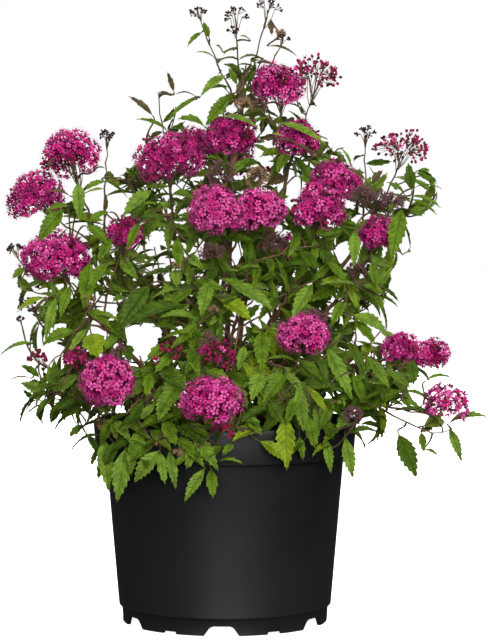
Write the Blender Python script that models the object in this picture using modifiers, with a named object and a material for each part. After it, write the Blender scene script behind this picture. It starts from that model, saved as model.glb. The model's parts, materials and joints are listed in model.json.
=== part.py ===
"""A spirea shrub in flower, standing in its black nursery pot.

Metres, +Z up. The origin is the centre of the pot's underside, and -Y is the front. The shrub's own
tables are in millimetres. Woody stems rise from the potting mix, and a mass of twigs, leaves and flower
heads grows on from the tip of each.
"""

import math
import random
from collections import namedtuple

import bmesh
import bpy
from mathutils import Matrix, Quaternion, Vector
from mathutils.bvhtree import BVHTree
from mathutils.geometry import interpolate_bezier

MM = 0.001
UP = Vector((0.0, 0.0, 1.0))
GOLDEN_ANGLE = math.pi * (3.0 - math.sqrt(5.0))
SEED = 11

# Pot: a turned shell on a foot ring with six lobes
POT_SEGMENTS = 36
RIM_TOP = 0.199
RIM_RADIUS = 0.130
RIM_FOOT = 0.166
RIM_FOOT_RADIUS = 0.1275
RIM_STEP = 0.004
LIP = 0.0012
WALL_TOP_RADIUS = 0.1175
WALL_FOOT = 0.0175
WALL_FOOT_RADIUS = 0.1049
WALL = 0.0022
FLOOR_TOP = 0.0145
FLOOR_UNDERSIDE = 0.0115
FOOT_RADIUS = 0.1017
FOOT_THICKNESS = 0.0045
PAD_RADIUS = 0.012
LOBES = 6
FRONT_GAP = math.radians(-91.5)
GAP_TOP_WIDTH = 0.021
GAP_FOOT_WIDTH = 0.034
GAP_HEIGHT = 0.0095
NOTCH_WIDTH = 0.014
NOTCH_HEIGHT = 0.0025
DRAIN_RADIUS = 0.005
DRAIN_RING = 0.080
SIDE_OF_CUTTER = 0.03

# Potting mix: fills the pot to below the rim
SOIL_SEGMENTS = 18
SOIL_TOP = 0.178
SOIL_GAP = 0.0006
SOIL_EDGE_DROP = 0.002

# Woody stems
TOUCH_GAP = 0.0003
CLEARANCE = 0.0004
STEM_BASE_RADIUS = 0.0038
STEM_TIP_RADIUS = 0.0021
STEM_FLARE = 1.3
STEM_FOOT = 0.006
STEM_STATIONS = 5
STEM_RINGS = ((0.335, 0.014), (0.265, 0.026), (0.0, 0.038))
STEM_TRIES = 72
BEND_STEP = 0.06

# How a stem curves: its handles as shares of its rise, and how it leans as it arrives at its fork
STEM_LEAVE = 0.33
STEM_ARRIVE = 0.30
ARRIVE_OUT = 0.55
ARRIVE_UP = 0.8

# How a shoot curves: off along its parent, and then up into its tip
SHOOT_LEAVE = 0.35
SHOOT_ARRIVE = 0.30
KEEP_HEADING = 0.4
TIP_UP = 0.6

# Twigs
TWIG_RADIUS = 0.0016
TWIG_TIP_RADIUS = 0.0010
TWIG_STATIONS = 4
FILL_STATIONS = 3
TWIG_TRIES = 24
LEAD = 0.003
BRANCH_STEP = 0.06
BRANCH_PLACES = 6

# Leafy shoots that fill a mass
FILL_REACH = 0.075
FILL_HEADING = 0.45
FILL_OUT = 0.5
FILL_UP = 0.15

# Leaves
LEAF_LENGTH = 0.066
LEAF_TAPER = 0.25
LEAF_WIDTH = 0.029
LEAF_THICKNESS = 0.0022
LEAF_RIDGE = 0.16
LEAF_WIDEST = 0.40
LEAF_FOLD = 0.0025
LEAF_BOW = 0.12
LEAF_SINK = 0.0004
LEAF_RETRIES = (0.0, 0.7, -0.7, 1.4, -1.4, 2.4)
LEAF_SPACING = 0.0235
BARE_SHARE = 0.22
HEAD_SHARE = 0.6
LAST_LEAF = 0.97

# How a leaf points, low and high in the crown, and which way its face looks
CROWN_HEART = Vector((0.0, 0.0, 0.30))
CROWN_TOP = 0.58
DROOP_LOW = 0.75
DROOP_HIGH = 0.15
LEAF_HEADING = 0.35
LEAF_SIDE = 0.9
LEAF_OUT = 0.45
FACE_UP = 0.6
FACE_OUT = 0.5
FACE_STRAY = 0.6

# Flower heads
HEAD_OUT = 0.35
HEAD_UP = 0.55
HEAD_HEADING = 0.5
LARGE_HEAD = 0.033
DOME_ABOVE = 0.5
DOME_BELOW = 0.35
BUD_RADIUS = 0.0028
PEDICEL_RADIUS = 0.0007
SPRAY_SHARE = 0.22
SPRAY_FALL = 0.8
BUDS_IN_HEAD = {"open": 8, "buds": 4}

# A shoot ends in a head at a place in millimetres; "leafy" has no head
Shoot = namedtuple("Shoot", "x y z head width height", defaults=("leafy", 0, 0))
Mass = namedtuple("Mass", "name fork shoots fill")
Growth = namedtuple("Growth", "twigs pieces")

MASSES = (
    Mass("top", (16, 10, 474), (
        Shoot(10, 0, 593, "buds", 27, 31),
        Shoot(-26, 20, 599, "buds", 23, 12),
        Shoot(42, 30, 604, "buds", 31, 31),
        Shoot(57, 10, 573, "buds", 15, 12),
    ), 2),
    Mass("crest", (57, 5, 416), (
        Shoot(52, -10, 526, "full", 54, 42),
        Shoot(90, 10, 536, "open", 50, 44),
        Shoot(71, -20, 474, "full", 46, 31),
        Shoot(123, -10, 474),
    ), 2),
    Mass("upper_front", (5, -45, 338), (
        Shoot(6, -20, 477, "full", 54, 35),
        Shoot(-8, -115, 404, "full", 54, 46),
        Shoot(34, -100, 404, "full", 48, 44),
        Shoot(-12, -90, 364, "spent", 25, 23),
    ), 3),
    Mass("upper_left", (-47, -5, 370), (
        Shoot(-52, -40, 456, "full", 65, 52),
        Shoot(-97, 20, 515),
        Shoot(-65, 0, 520),
        Shoot(-93, -30, 431, "buds", 23, 21),
    ), 2),
    Mass("left_crest", (-104, -15, 344), (
        Shoot(-151, -20, 459, "full", 57, 52),
        Shoot(-185, -30, 418, "full", 56, 40),
        Shoot(-117, 20, 477, "buds", 21, 19),
    ), 2),
    Mass("left", (-99, -40, 273), (
        Shoot(-162, -60, 359, "full", 69, 46),
        Shoot(-206, -10, 366, "buds", 21, 12),
        Shoot(-193, -30, 312, "buds", 21, 25),
        Shoot(-95, -70, 383, "full", 35, 35),
    ), 2),
    Mass("lower_left", (-96, -45, 227), (
        Shoot(-143, -90, 258, "buds", 29, 29),
        Shoot(-181, -40, 260, "buds", 21, 23),
        Shoot(-182, -60, 224),
    ), 2),
    Mass("front_left", (-54, -78, 231), (
        Shoot(-108, -140, 244, "full", 56, 54),
        Shoot(-52, -130, 268, "buds", 35, 35),
        Shoot(-88, -125, 213),
    ), 2),
    Mass("front", (-5, -88, 231), (
        Shoot(-12, -175, 230, "full", 58, 48),
        Shoot(-6, -130, 268, "open", 37, 31),
        Shoot(-1, -165, 201, "buds", 25, 23),
    ), 3),
    Mass("front_right", (52, -75, 231), (
        Shoot(76, -145, 289, "full", 50, 37),
        Shoot(62, -135, 219),
        Shoot(109, -120, 229),
    ), 3),
    Mass("lower_right", (109, -42, 224), (
        Shoot(214, -60, 217, "full", 43, 40),
        Shoot(226, -30, 203),
        Shoot(156, -75, 224),
        Shoot(122, -110, 212, "spent", 19, 19),
    ), 2),
    Mass("right", (104, -15, 248), (
        Shoot(171, -40, 271, "full", 37, 31),
        Shoot(202, -30, 264, "full", 36, 32),
        Shoot(156, -25, 297),
    ), 2),
    Mass("right_middle", (96, -25, 302), (
        Shoot(149, -60, 382, "full", 40, 35),
        Shoot(161, -10, 344),
        Shoot(128, -60, 347, "spent", 21, 19),
    ), 3),
    Mass("upper_right", (73, -25, 338), (
        Shoot(88, -100, 406, "full", 52, 50),
        Shoot(108, -30, 433, "full", 50, 40),
        Shoot(49, -60, 372, "spent", 25, 25),
    ), 2),
    Mass("right_crest", (123, 10, 359), (
        Shoot(175, 0, 464, "open", 58, 33),
        Shoot(139, 20, 479, "buds", 25, 25),
        Shoot(208, -5, 422),
        Shoot(146, -35, 411, "spent", 44, 29),
    ), 2),
    Mass("centre", (5, -50, 273), (
        Shoot(21, -95, 344),
        Shoot(-42, -100, 333),
        Shoot(62, -100, 328),
        Shoot(-5, -110, 307),
    ), 3),
)

# The side that the front hides: name, azimuth in degrees, then reach, height and fork height in millimetres
REAR_MASSES = (
    ("back_low_left", 140, 178, 258, 226),
    ("back_low", 92, 180, 252, 226),
    ("back_low_right", 42, 182, 262, 228),
    ("back_left", 118, 158, 366, 284),
    ("back_right", 62, 156, 358, 280),
    ("back_upper", 88, 88, 458, 360),
)
REAR_FORK_SHARE = 0.55
REAR_FAN = (
    (0, 1.0, 0, "full", 52, 38),
    (-24, 0.98, -18, "buds", 26, 24),
    (23, 0.96, 12, "full", 46, 36),
    (4, 0.72, 45, "leafy", 0, 0),
)


def rear_mass(name, azimuth, reach, height, fork_height):
    """A mass of the hidden side: a fan of shoots about one direction."""
    def spot(turn, share, level):
        angle = math.radians(azimuth + turn)
        return (reach * share * math.cos(angle), reach * share * math.sin(angle), level)

    shoots = tuple(Shoot(*spot(turn, share, height + rise), *head) for turn, share, rise, *head in REAR_FAN)
    return Mass(name, spot(0, REAR_FORK_SHARE, fork_height), shoots, 2)


def material(name, colour, roughness):
    made = bpy.data.materials.new(name)
    made.use_nodes = True
    shader = made.node_tree.nodes["Principled BSDF"]
    shader.inputs["Base Color"].default_value = (*colour, 1.0)
    shader.inputs["Roughness"].default_value = roughness
    return made


def add_object(name, mesh, collection, finish):
    made = bpy.data.objects.new(name, mesh)
    collection.objects.link(made)
    if finish:
        mesh.materials.append(finish)
    return made


def mesh_from(name, bm):
    mesh = bpy.data.meshes.new(name)
    bm.to_mesh(mesh)
    bm.free()
    return mesh


def turned(name, profile, segments, collection, finish):
    """A profile of (radius, height) points turned once about the Z axis."""
    bm = bmesh.new()
    points = [bm.verts.new((radius, 0.0, height)) for radius, height in profile]
    for first, second in zip(points, points[1:]):
        bm.edges.new((first, second))
    made = add_object(name, mesh_from(name, bm), collection, finish)
    screw = made.modifiers.new("Turn", "SCREW")
    screw.steps = segments
    screw.render_steps = segments
    screw.use_merge_vertices = True
    screw.merge_threshold = 0.00001
    return made


def cutter(name, bm, collection, location, azimuth):
    made = add_object(name, mesh_from(name, bm), collection, None)
    made.location = location
    made.rotation_euler.z = azimuth
    made.hide_render = True
    made.display_type = "WIRE"
    return made


def slanted_block(depth, top_width, foot_width, height):
    """A block about its own foot centre, wider at the foot than at the top."""
    bm = bmesh.new()
    bmesh.ops.create_cube(bm, size=1.0)
    for vert in bm.verts:
        width = top_width if vert.co.z > 0 else foot_width
        vert.co = (vert.co.x * depth, vert.co.y * width, height if vert.co.z > 0 else -height)
    return bm


def round_block(radius, height):
    bm = bmesh.new()
    bmesh.ops.create_cone(bm, segments=8, cap_ends=True, radius1=radius, radius2=radius, depth=height)
    return bm


def make_pot(collection, cutters, finish):
    """The pot's shell, from the axis inside, up the wall, over the rim, and down and under outside."""
    profile = (
        (0.0, FLOOR_TOP),
        (FOOT_RADIUS - WALL, FLOOR_TOP),
        (WALL_FOOT_RADIUS - WALL, WALL_FOOT + WALL),
        (WALL_TOP_RADIUS - WALL, RIM_FOOT),
        (RIM_FOOT_RADIUS - WALL, RIM_FOOT + RIM_STEP),
        (RIM_RADIUS - WALL, RIM_TOP - LIP),
        (RIM_RADIUS - WALL + LIP / 2, RIM_TOP),
        (RIM_RADIUS - LIP / 2, RIM_TOP),
        (RIM_RADIUS, RIM_TOP - LIP),
        (RIM_FOOT_RADIUS, RIM_FOOT + LIP),
        (RIM_FOOT_RADIUS - LIP, RIM_FOOT),
        (WALL_TOP_RADIUS, RIM_FOOT - LIP),
        (WALL_FOOT_RADIUS, WALL_FOOT),
        (FOOT_RADIUS, WALL_FOOT - RIM_STEP),
        (FOOT_RADIUS - LIP, 0.0),
        (FOOT_RADIUS - FOOT_THICKNESS, 0.0),
        (FOOT_RADIUS - FOOT_THICKNESS, FLOOR_UNDERSIDE),
        (PAD_RADIUS, FLOOR_UNDERSIDE),
        (PAD_RADIUS - LIP, 0.0),
        (0.0, 0.0),
    )
    pot = turned("pot", profile, POT_SEGMENTS, collection, finish)
    for lobe in range(LOBES):
        gap = FRONT_GAP + lobe * math.tau / LOBES
        middle = gap + math.pi / LOBES
        foot = Matrix.Rotation(gap, 3, "Z") @ Vector((FOOT_RADIUS, 0.0, 0.0))
        block = slanted_block(SIDE_OF_CUTTER, GAP_TOP_WIDTH, 2 * GAP_FOOT_WIDTH - GAP_TOP_WIDTH, GAP_HEIGHT)
        cutter(f"foot_gap_{lobe}", block, cutters, foot, gap)
        lobe_foot = Matrix.Rotation(middle, 3, "Z") @ Vector((FOOT_RADIUS, 0.0, 0.0))
        block = slanted_block(SIDE_OF_CUTTER, NOTCH_WIDTH, NOTCH_WIDTH, NOTCH_HEIGHT)
        cutter(f"foot_notch_{lobe}", block, cutters, lobe_foot, middle)
        drain = Matrix.Rotation(middle, 3, "Z") @ Vector((DRAIN_RING, 0.0, FLOOR_UNDERSIDE))
        cutter(f"drain_{lobe}", round_block(DRAIN_RADIUS, 4 * WALL), cutters, drain, middle)
    cut = pot.modifiers.new("Cut foot", "BOOLEAN")
    cut.operand_type = "COLLECTION"
    cut.collection = cutters
    return pot


def make_potting_mix(collection, finish):
    profile = (
        (0.0, SOIL_TOP),
        (RIM_FOOT_RADIUS - 2 * WALL - SOIL_EDGE_DROP, SOIL_TOP),
        (RIM_FOOT_RADIUS - WALL - SOIL_GAP, SOIL_TOP - SOIL_EDGE_DROP),
        (RIM_FOOT_RADIUS - WALL - SOIL_GAP, RIM_FOOT + RIM_STEP + 2 * SOIL_GAP),
        (WALL_TOP_RADIUS - WALL - SOIL_GAP, RIM_FOOT + SOIL_GAP),
        (WALL_FOOT_RADIUS - WALL - SOIL_GAP, WALL_FOOT + WALL),
        (FOOT_RADIUS - WALL - SOIL_GAP, FLOOR_TOP + TOUCH_GAP),
        (0.0, FLOOR_TOP + TOUCH_GAP),
    )
    return turned("potting_mix", profile, SOIL_SEGMENTS, collection, finish)


def tube(points, radii, sides):
    """A closed mesh along a line: a circle square to it at each point, each bridged to the next."""
    bm = bmesh.new()
    last = len(points) - 1
    turn = Quaternion()
    heading = UP
    rings = []
    for index, (point, radius) in enumerate(zip(points, radii)):
        ahead = (points[min(index + 1, last)] - points[max(index - 1, 0)]).normalized()
        turn = heading.rotation_difference(ahead) @ turn
        heading = ahead
        made = bmesh.ops.create_circle(
            bm, segments=sides, radius=radius, cap_ends=index in (0, last),
            matrix=Matrix.Translation(point) @ turn.to_matrix().to_4x4(),
        )
        rings.append(list({edge for vert in made["verts"] for edge in vert.link_edges}))
    for first, second in zip(rings, rings[1:]):
        bmesh.ops.bridge_loops(bm, edges=first + second)
    bmesh.ops.recalc_face_normals(bm, faces=bm.faces)
    return bm


def even(first, last, count):
    """Values in equal steps from first to last."""
    return [first + (last - first) * index / (count - 1) for index in range(count)]


def sideways(direction, angle):
    """A unit vector square to direction, turned about it by angle."""
    side = direction.orthogonal().normalized()
    return Quaternion(direction, angle) @ side


def stray(rng):
    """A random offset of up to 1 along each axis."""
    return Vector([rng.uniform(-1, 1) for _ in range(3)])


def outward(place):
    """The level direction from the crown's middle to a place."""
    away = place - CROWN_HEART
    away.z = 0.0
    return away.normalized() if away.length > MM else Vector((0.0, -1.0, 0.0))


def holds(tree, place):
    """True where a place is inside a closed surface: a ray from it leaves through an odd number of faces."""
    crossings = 0
    while place is not None:
        place = tree.ray_cast(place, UP)[0]
        if place is not None:
            place = place + UP * 0.01 * MM
            crossings += 1
    return crossings % 2 == 1


class Taken:
    """The solids already placed, each under its owner's name, so that a new piece is kept clear of them."""

    def __init__(self):
        self.solids = []

    def claim(self, owner, bm):
        self.solids.append((owner, BVHTree.FromBMesh(bm), next(iter(bm.verts)).co.copy()))

    def is_free(self, bm, may_touch=()):
        """True where a piece clears all solids but those whose owner's name starts as one of may_touch."""
        bm.normal_update()
        bm.verts.index_update()
        corners = [vert.co + vert.normal * CLEARANCE for vert in bm.verts]
        faces = [[vert.index for vert in face.verts] for face in bm.faces]
        grown = BVHTree.FromPolygons(corners, faces)
        for owner, tree, corner in self.solids:
            if owner.startswith(may_touch):
                continue
            if tree.overlap(grown) or holds(tree, corners[0]) or holds(grown, corner):
                return False
        return True


def stem_feet(masses):
    """Where each stem leaves the potting mix: tall ones near the middle, low ones further out."""
    feet = {}
    left = list(masses)
    for lowest_fork, ring in STEM_RINGS:
        here = [mass for mass in left if mass.fork[2] * MM >= lowest_fork]
        left = [mass for mass in left if mass not in here]
        here.sort(key=lambda mass: math.atan2(mass.fork[1], mass.fork[0]))
        start = math.atan2(here[0].fork[1], here[0].fork[0])
        for index, mass in enumerate(here):
            angle = start + index * math.tau / len(here)
            feet[mass.name] = Vector((ring * math.cos(angle), ring * math.sin(angle), SOIL_TOP + TOUCH_GAP))
    return feet


def stem_line(foot, fork, bend):
    """Points of a stem: upright at its foot, then one curve up and out to its fork."""
    rise = (fork - foot).length
    knee = foot + UP * STEM_FOOT
    leave = knee + (UP + bend) * rise * STEM_LEAVE
    arrive = fork - (outward(fork) * ARRIVE_OUT + UP * ARRIVE_UP).normalized() * rise * STEM_ARRIVE
    return [foot] + interpolate_bezier(knee, leave, arrive, fork, STEM_STATIONS)


def make_stem(mass, foot, collection, finish, taken, rng):
    """A tapering limb of one curve, bent to one side or the other until it clears the stems before it."""
    fork = Vector(mass.fork) * MM
    radii = [STEM_BASE_RADIUS * STEM_FLARE] + even(STEM_BASE_RADIUS, STEM_TIP_RADIUS, STEM_STATIONS)
    name = f"stem_{mass.name}"
    for attempt in range(STEM_TRIES):
        bend = Vector((rng.uniform(-1, 1), rng.uniform(-1, 1), 0.0)) * BEND_STEP * attempt
        line = stem_line(foot, fork, bend)
        solid = tube(line, radii, 6)
        if taken.is_free(solid, "potting_mix"):
            break
    taken.claim(name, solid)
    solid.free()
    curve = bpy.data.curves.new(name, "CURVE")
    curve.dimensions = "3D"
    curve.bevel_depth = 1.0
    curve.bevel_resolution = 1
    curve.use_fill_caps = True
    spline = curve.splines.new("POLY")
    spline.points.add(len(line) - 1)
    for point, place, radius in zip(spline.points, line, radii):
        point.co = (*place, 1.0)
        point.radius = radius
    add_object(name, curve, collection, finish)
    return line


def along_line(points, share):
    """The place and the heading at a share of the way along a line."""
    spans = list(zip(points, points[1:]))
    left = share * sum((second - first).length for first, second in spans)
    for first, second in spans[:-1]:
        length = (second - first).length
        if left <= length:
            break
        left -= length
    else:
        first, second = spans[-1]
    heading = (second - first).normalized()
    return first + heading * left, heading


def shoot_line(start, heading, tip, bend, stations):
    """Points of a shoot: off along its parent, then up and out to its tip."""
    reach = (tip - start).length
    towards = (tip - start).normalized()
    turning = heading * KEEP_HEADING + towards * (1.0 - KEEP_HEADING) + bend
    leave = start + turning.normalized() * reach * SHOOT_LEAVE
    arrive = tip - ((UP + towards) * TIP_UP).normalized() * reach * SHOOT_ARRIVE
    return interpolate_bezier(start, leave, arrive, tip, stations)


def blade(root, along, face, length):
    """A folded leaf of eight faces, drawn out of a ball from its root to its drooping tip."""
    bm = bmesh.new()
    bmesh.ops.create_uvsphere(bm, u_segments=4, v_segments=2, radius=1.0)
    side = along.cross(face).normalized()
    width = LEAF_WIDTH * length / LEAF_LENGTH
    for vert in bm.verts:
        across, lift, end = vert.co
        if end < -0.5:
            vert.co = root - along * LEAF_SINK
        elif end > 0.5:
            vert.co = root + along * length - face * length * LEAF_BOW
        elif abs(lift) > 0.5:
            vert.co = root + along * length * LEAF_RIDGE + face * lift * LEAF_THICKNESS / 2
        else:
            vert.co = root + along * length * LEAF_WIDEST + side * across * width / 2 + face * LEAF_FOLD
    bmesh.ops.recalc_face_normals(bm, faces=bm.faces)
    return bm


def leaf_pose(place, heading, angle, rng):
    """Which way a leaf points and faces at a node of a shoot."""
    height = (place.z - SOIL_TOP) / (CROWN_TOP - SOIL_TOP)
    droop = DROOP_LOW + (DROOP_HIGH - DROOP_LOW) * min(max(height, 0.0), 1.0) + rng.uniform(-0.15, 0.2)
    away = outward(place)
    side = sideways(heading, angle)
    along = (heading * LEAF_HEADING + side * LEAF_SIDE + away * LEAF_OUT - UP * droop).normalized()
    face = UP * FACE_UP + away * FACE_OUT + stray(rng) * FACE_STRAY
    face = (face - along * face.dot(along)).normalized()
    return along, face


def flower_dome(centre, facing, width, height, rng):
    """A full head: a bumpy dome, flatter beneath."""
    bm = bmesh.new()
    sides, bands = (8, 4) if width > LARGE_HEAD else (6, 3)
    bmesh.ops.create_uvsphere(bm, u_segments=sides, v_segments=bands, radius=1.0)
    turn = facing.to_track_quat("Z", "Y")
    for vert in bm.verts:
        bump = rng.uniform(0.90, 1.04)
        depth = height * (DOME_ABOVE if vert.co.z > 0 else DOME_BELOW)
        vert.co = centre + turn @ Vector((vert.co.x * width / 2, vert.co.y * width / 2, vert.co.z * depth)) * bump
    return [bm]


def bud_spray(line, facing, width, height, count):
    """An open head: fine stalks that leave the end of the twig in turn, each thick at its budded tip."""
    turn = facing.to_track_quat("Z", "Y")
    stalks = []
    for index in range(count):
        share = (index + 0.5) / count
        spread = math.sqrt(share) * width / 2
        angle = index * GOLDEN_ANGLE
        dome = height / 2 * (1.0 - share * SPRAY_FALL)
        tip = line[-1] + turn @ Vector((spread * math.cos(angle), spread * math.sin(angle), dome))
        root, _ = along_line(line, 1.0 - SPRAY_SHARE * share)
        stalks.append(tube([root, tip], [PEDICEL_RADIUS, BUD_RADIUS], 3))
    return stalks


def head_pieces(shoot, line, rng):
    """The head that a shoot carries, as a list of meshes that its twig runs into."""
    tip, heading = along_line(line, 1.0)
    facing = (outward(tip) * HEAD_OUT + UP * HEAD_UP + heading * HEAD_HEADING).normalized()
    width = shoot.width * MM
    height = shoot.height * MM
    if shoot.head in ("full", "spent"):
        return flower_dome(tip, facing, width, height, rng)
    if shoot.head in BUDS_IN_HEAD:
        return bud_spray(line, facing, width, height, BUDS_IN_HEAD[shoot.head])
    return []


def fill_tips(mass, heading, rng):
    """Leafy shoots that fill a mass, fanned about the way its stem arrives."""
    fork = Vector(mass.fork) * MM
    for index in range(mass.fill):
        side = sideways(heading, index * GOLDEN_ANGLE + rng.uniform(0, 1))
        direction = (heading * FILL_HEADING + side + outward(fork) * FILL_OUT + UP * FILL_UP).normalized()
        yield fork + direction * FILL_REACH * rng.uniform(0.85, 1.2)


def tips_of(mass, stem, rng):
    """The shoots of a mass with the places of their tips: those of its table row, then those that fill it."""
    tips = [(shoot, Vector(shoot[:3]) * MM) for shoot in mass.shoots]
    return tips + [(Shoot(0, 0, 0), tip) for tip in fill_tips(mass, along_line(stem, 1.0)[1], rng)]


def grow_shoot(mass, index, shoot, tip, stem, growth, taken, rng):
    """One twig and its head: the first starts clear of the stem's tip, the others on the first."""
    owner = f"{mass.name}/{index}"
    stations = TWIG_STATIONS if index < len(mass.shoots) else FILL_STATIONS
    radii = even(TWIG_RADIUS, TWIG_TIP_RADIUS, stations)
    if growth.twigs:
        main_owner, _, main_line = growth.twigs[0]
        start, heading = along_line(main_line, BRANCH_STEP * (1 + index % BRANCH_PLACES))
        beside = main_owner
    else:
        fork, heading = along_line(stem, 1.0)
        start = fork + heading * TOUCH_GAP
        radii.insert(0, radii[0])
        beside = f"stem_{mass.name}"
    for attempt in range(TWIG_TRIES):
        bend = stray(rng) * BEND_STEP * attempt
        line = shoot_line(start, heading, tip, bend, stations)
        if not growth.twigs:
            line.insert(1, start + heading * LEAD)
        solid = tube(line, radii, 3)
        if taken.is_free(solid, beside if attempt < TWIG_TRIES // 2 else (beside, f"{mass.name}/")):
            break
        solid.free()
    else:
        return
    head = [piece for piece in head_pieces(shoot, line, rng) if taken.is_free(piece, f"{mass.name}/")]
    for piece in [solid] + head:
        taken.claim(owner, piece)
        growth.pieces.append(piece)
    growth.twigs.append((owner, shoot, line))


def grow_leaves(twigs, taken, rng):
    """Leaves in a spiral up each shoot, each left out where it would touch anything but its own twig."""
    pieces = []
    for owner, shoot, line in twigs:
        length = sum((second - first).length for first, second in zip(line, line[1:]))
        top = 1.0 - shoot.height * MM * HEAD_SHARE / length
        count = max(2, round(length * (top - BARE_SHARE) / LEAF_SPACING))
        turn = rng.uniform(0, math.tau)
        for index in range(count):
            share = BARE_SHARE + (top - BARE_SHARE) * (index + 0.7) / count
            place, heading = along_line(line, min(share, LAST_LEAF))
            size = LEAF_LENGTH * rng.uniform(0.85, 1.12) * (1.0 - LEAF_TAPER * (index + 1) / count)
            for retry in LEAF_RETRIES:
                along, face = leaf_pose(place, heading, turn + index * GOLDEN_ANGLE + retry, rng)
                solid = blade(place, along, face, size)
                if taken.is_free(solid, owner):
                    taken.claim(f"{owner}/leaf", solid)
                    pieces.append(solid)
                    break
                solid.free()
    return pieces


def largest_body(bm):
    """Drops what doesn't hang together with the largest part of a mesh."""
    left = set(bm.verts)
    bodies = []
    while left:
        body = set()
        front = [left.pop()]
        while front:
            vert = front.pop()
            body.add(vert)
            for edge in vert.link_edges:
                other = edge.other_vert(vert)
                if other in left:
                    left.remove(other)
                    front.append(other)
        bodies.append(body)
    bodies.sort(key=len)
    for body in bodies[:-1]:
        bmesh.ops.delete(bm, geom=list(body), context="VERTS")


def join_mass(name, pieces, collection, finish):
    """One solid from the twigs, leaves and heads of a mass, by a single union."""
    operands = bpy.data.collections.new(f"{name}_pieces")
    bpy.context.scene.collection.children.link(operands)
    made = add_object(name, mesh_from(name, pieces[0]), collection, finish)
    for index, piece in enumerate(pieces[1:]):
        add_object(f"{name}_piece_{index}", mesh_from(name, piece), operands, None)
    join = made.modifiers.new("Join", "BOOLEAN")
    join.operation = "UNION"
    join.operand_type = "COLLECTION"
    join.collection = operands
    depsgraph = bpy.context.evaluated_depsgraph_get()
    fused = bmesh.new()
    fused.from_mesh(made.evaluated_get(depsgraph).data)
    largest_body(fused)
    made.modifiers.remove(join)
    fused.to_mesh(made.data)
    fused.free()
    for piece in list(operands.objects):
        bpy.data.objects.remove(piece)
    bpy.data.collections.remove(operands)


def claim_object(taken, made):
    depsgraph = bpy.context.evaluated_depsgraph_get()
    bm = bmesh.new()
    bm.from_object(made, depsgraph)
    taken.claim(made.name, bm)
    bm.free()


def main():
    for old in list(bpy.data.objects):
        bpy.data.objects.remove(old)
    scene = bpy.context.scene.collection
    shrub = bpy.data.collections.new("spirea_shrub")
    cutters = bpy.data.collections.new("cutters")
    scene.children.link(shrub)
    scene.children.link(cutters)
    plastic = material("black_pot_plastic", (0.012, 0.012, 0.013), 0.45)
    soil = material("moist_bark_mix", (0.035, 0.020, 0.012), 0.95)
    bark = material("brown_bark", (0.16, 0.075, 0.04), 0.75)
    foliage = material("green_leaves_and_flowers", (0.10, 0.21, 0.03), 0.55)

    pot = make_pot(shrub, cutters, plastic)
    mix = make_potting_mix(shrub, soil)
    taken = Taken()
    claim_object(taken, pot)
    claim_object(taken, mix)

    rng = random.Random(SEED)
    masses = MASSES + tuple(rear_mass(*row) for row in REAR_MASSES)
    feet = stem_feet(masses)
    stems = {mass.name: make_stem(mass, feet[mass.name], shrub, bark, taken, rng) for mass in masses}
    tips = {mass.name: tips_of(mass, stems[mass.name], rng) for mass in masses}
    growths = {mass.name: Growth([], []) for mass in masses}
    for index in range(max(len(row) for row in tips.values())):
        for mass in masses:
            if index < len(tips[mass.name]):
                shoot, tip = tips[mass.name][index]
                grow_shoot(mass, index, shoot, tip, stems[mass.name], growths[mass.name], taken, rng)
    for mass in masses:
        growth = growths[mass.name]
        leaves = grow_leaves(growth.twigs, taken, rng)
        join_mass(f"foliage_{mass.name}", growth.pieces + leaves, shrub, foliage)


main()
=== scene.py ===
"""The looks of a spirea shrub in flower, in its black nursery pot.

Metres, +Z up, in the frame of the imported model: the origin is the centre of the pot's underside and -Y is
the front. The tables of the shrub are in millimetres, as in the model's source. The crown is planned once:
shoots grow on from the stems of the frame, side twigs from stems and shoots, leaves from twigs and shoots,
and flower heads at the ends of shoots. Each operator then makes one kind of piece out of that plan.
"""

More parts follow.
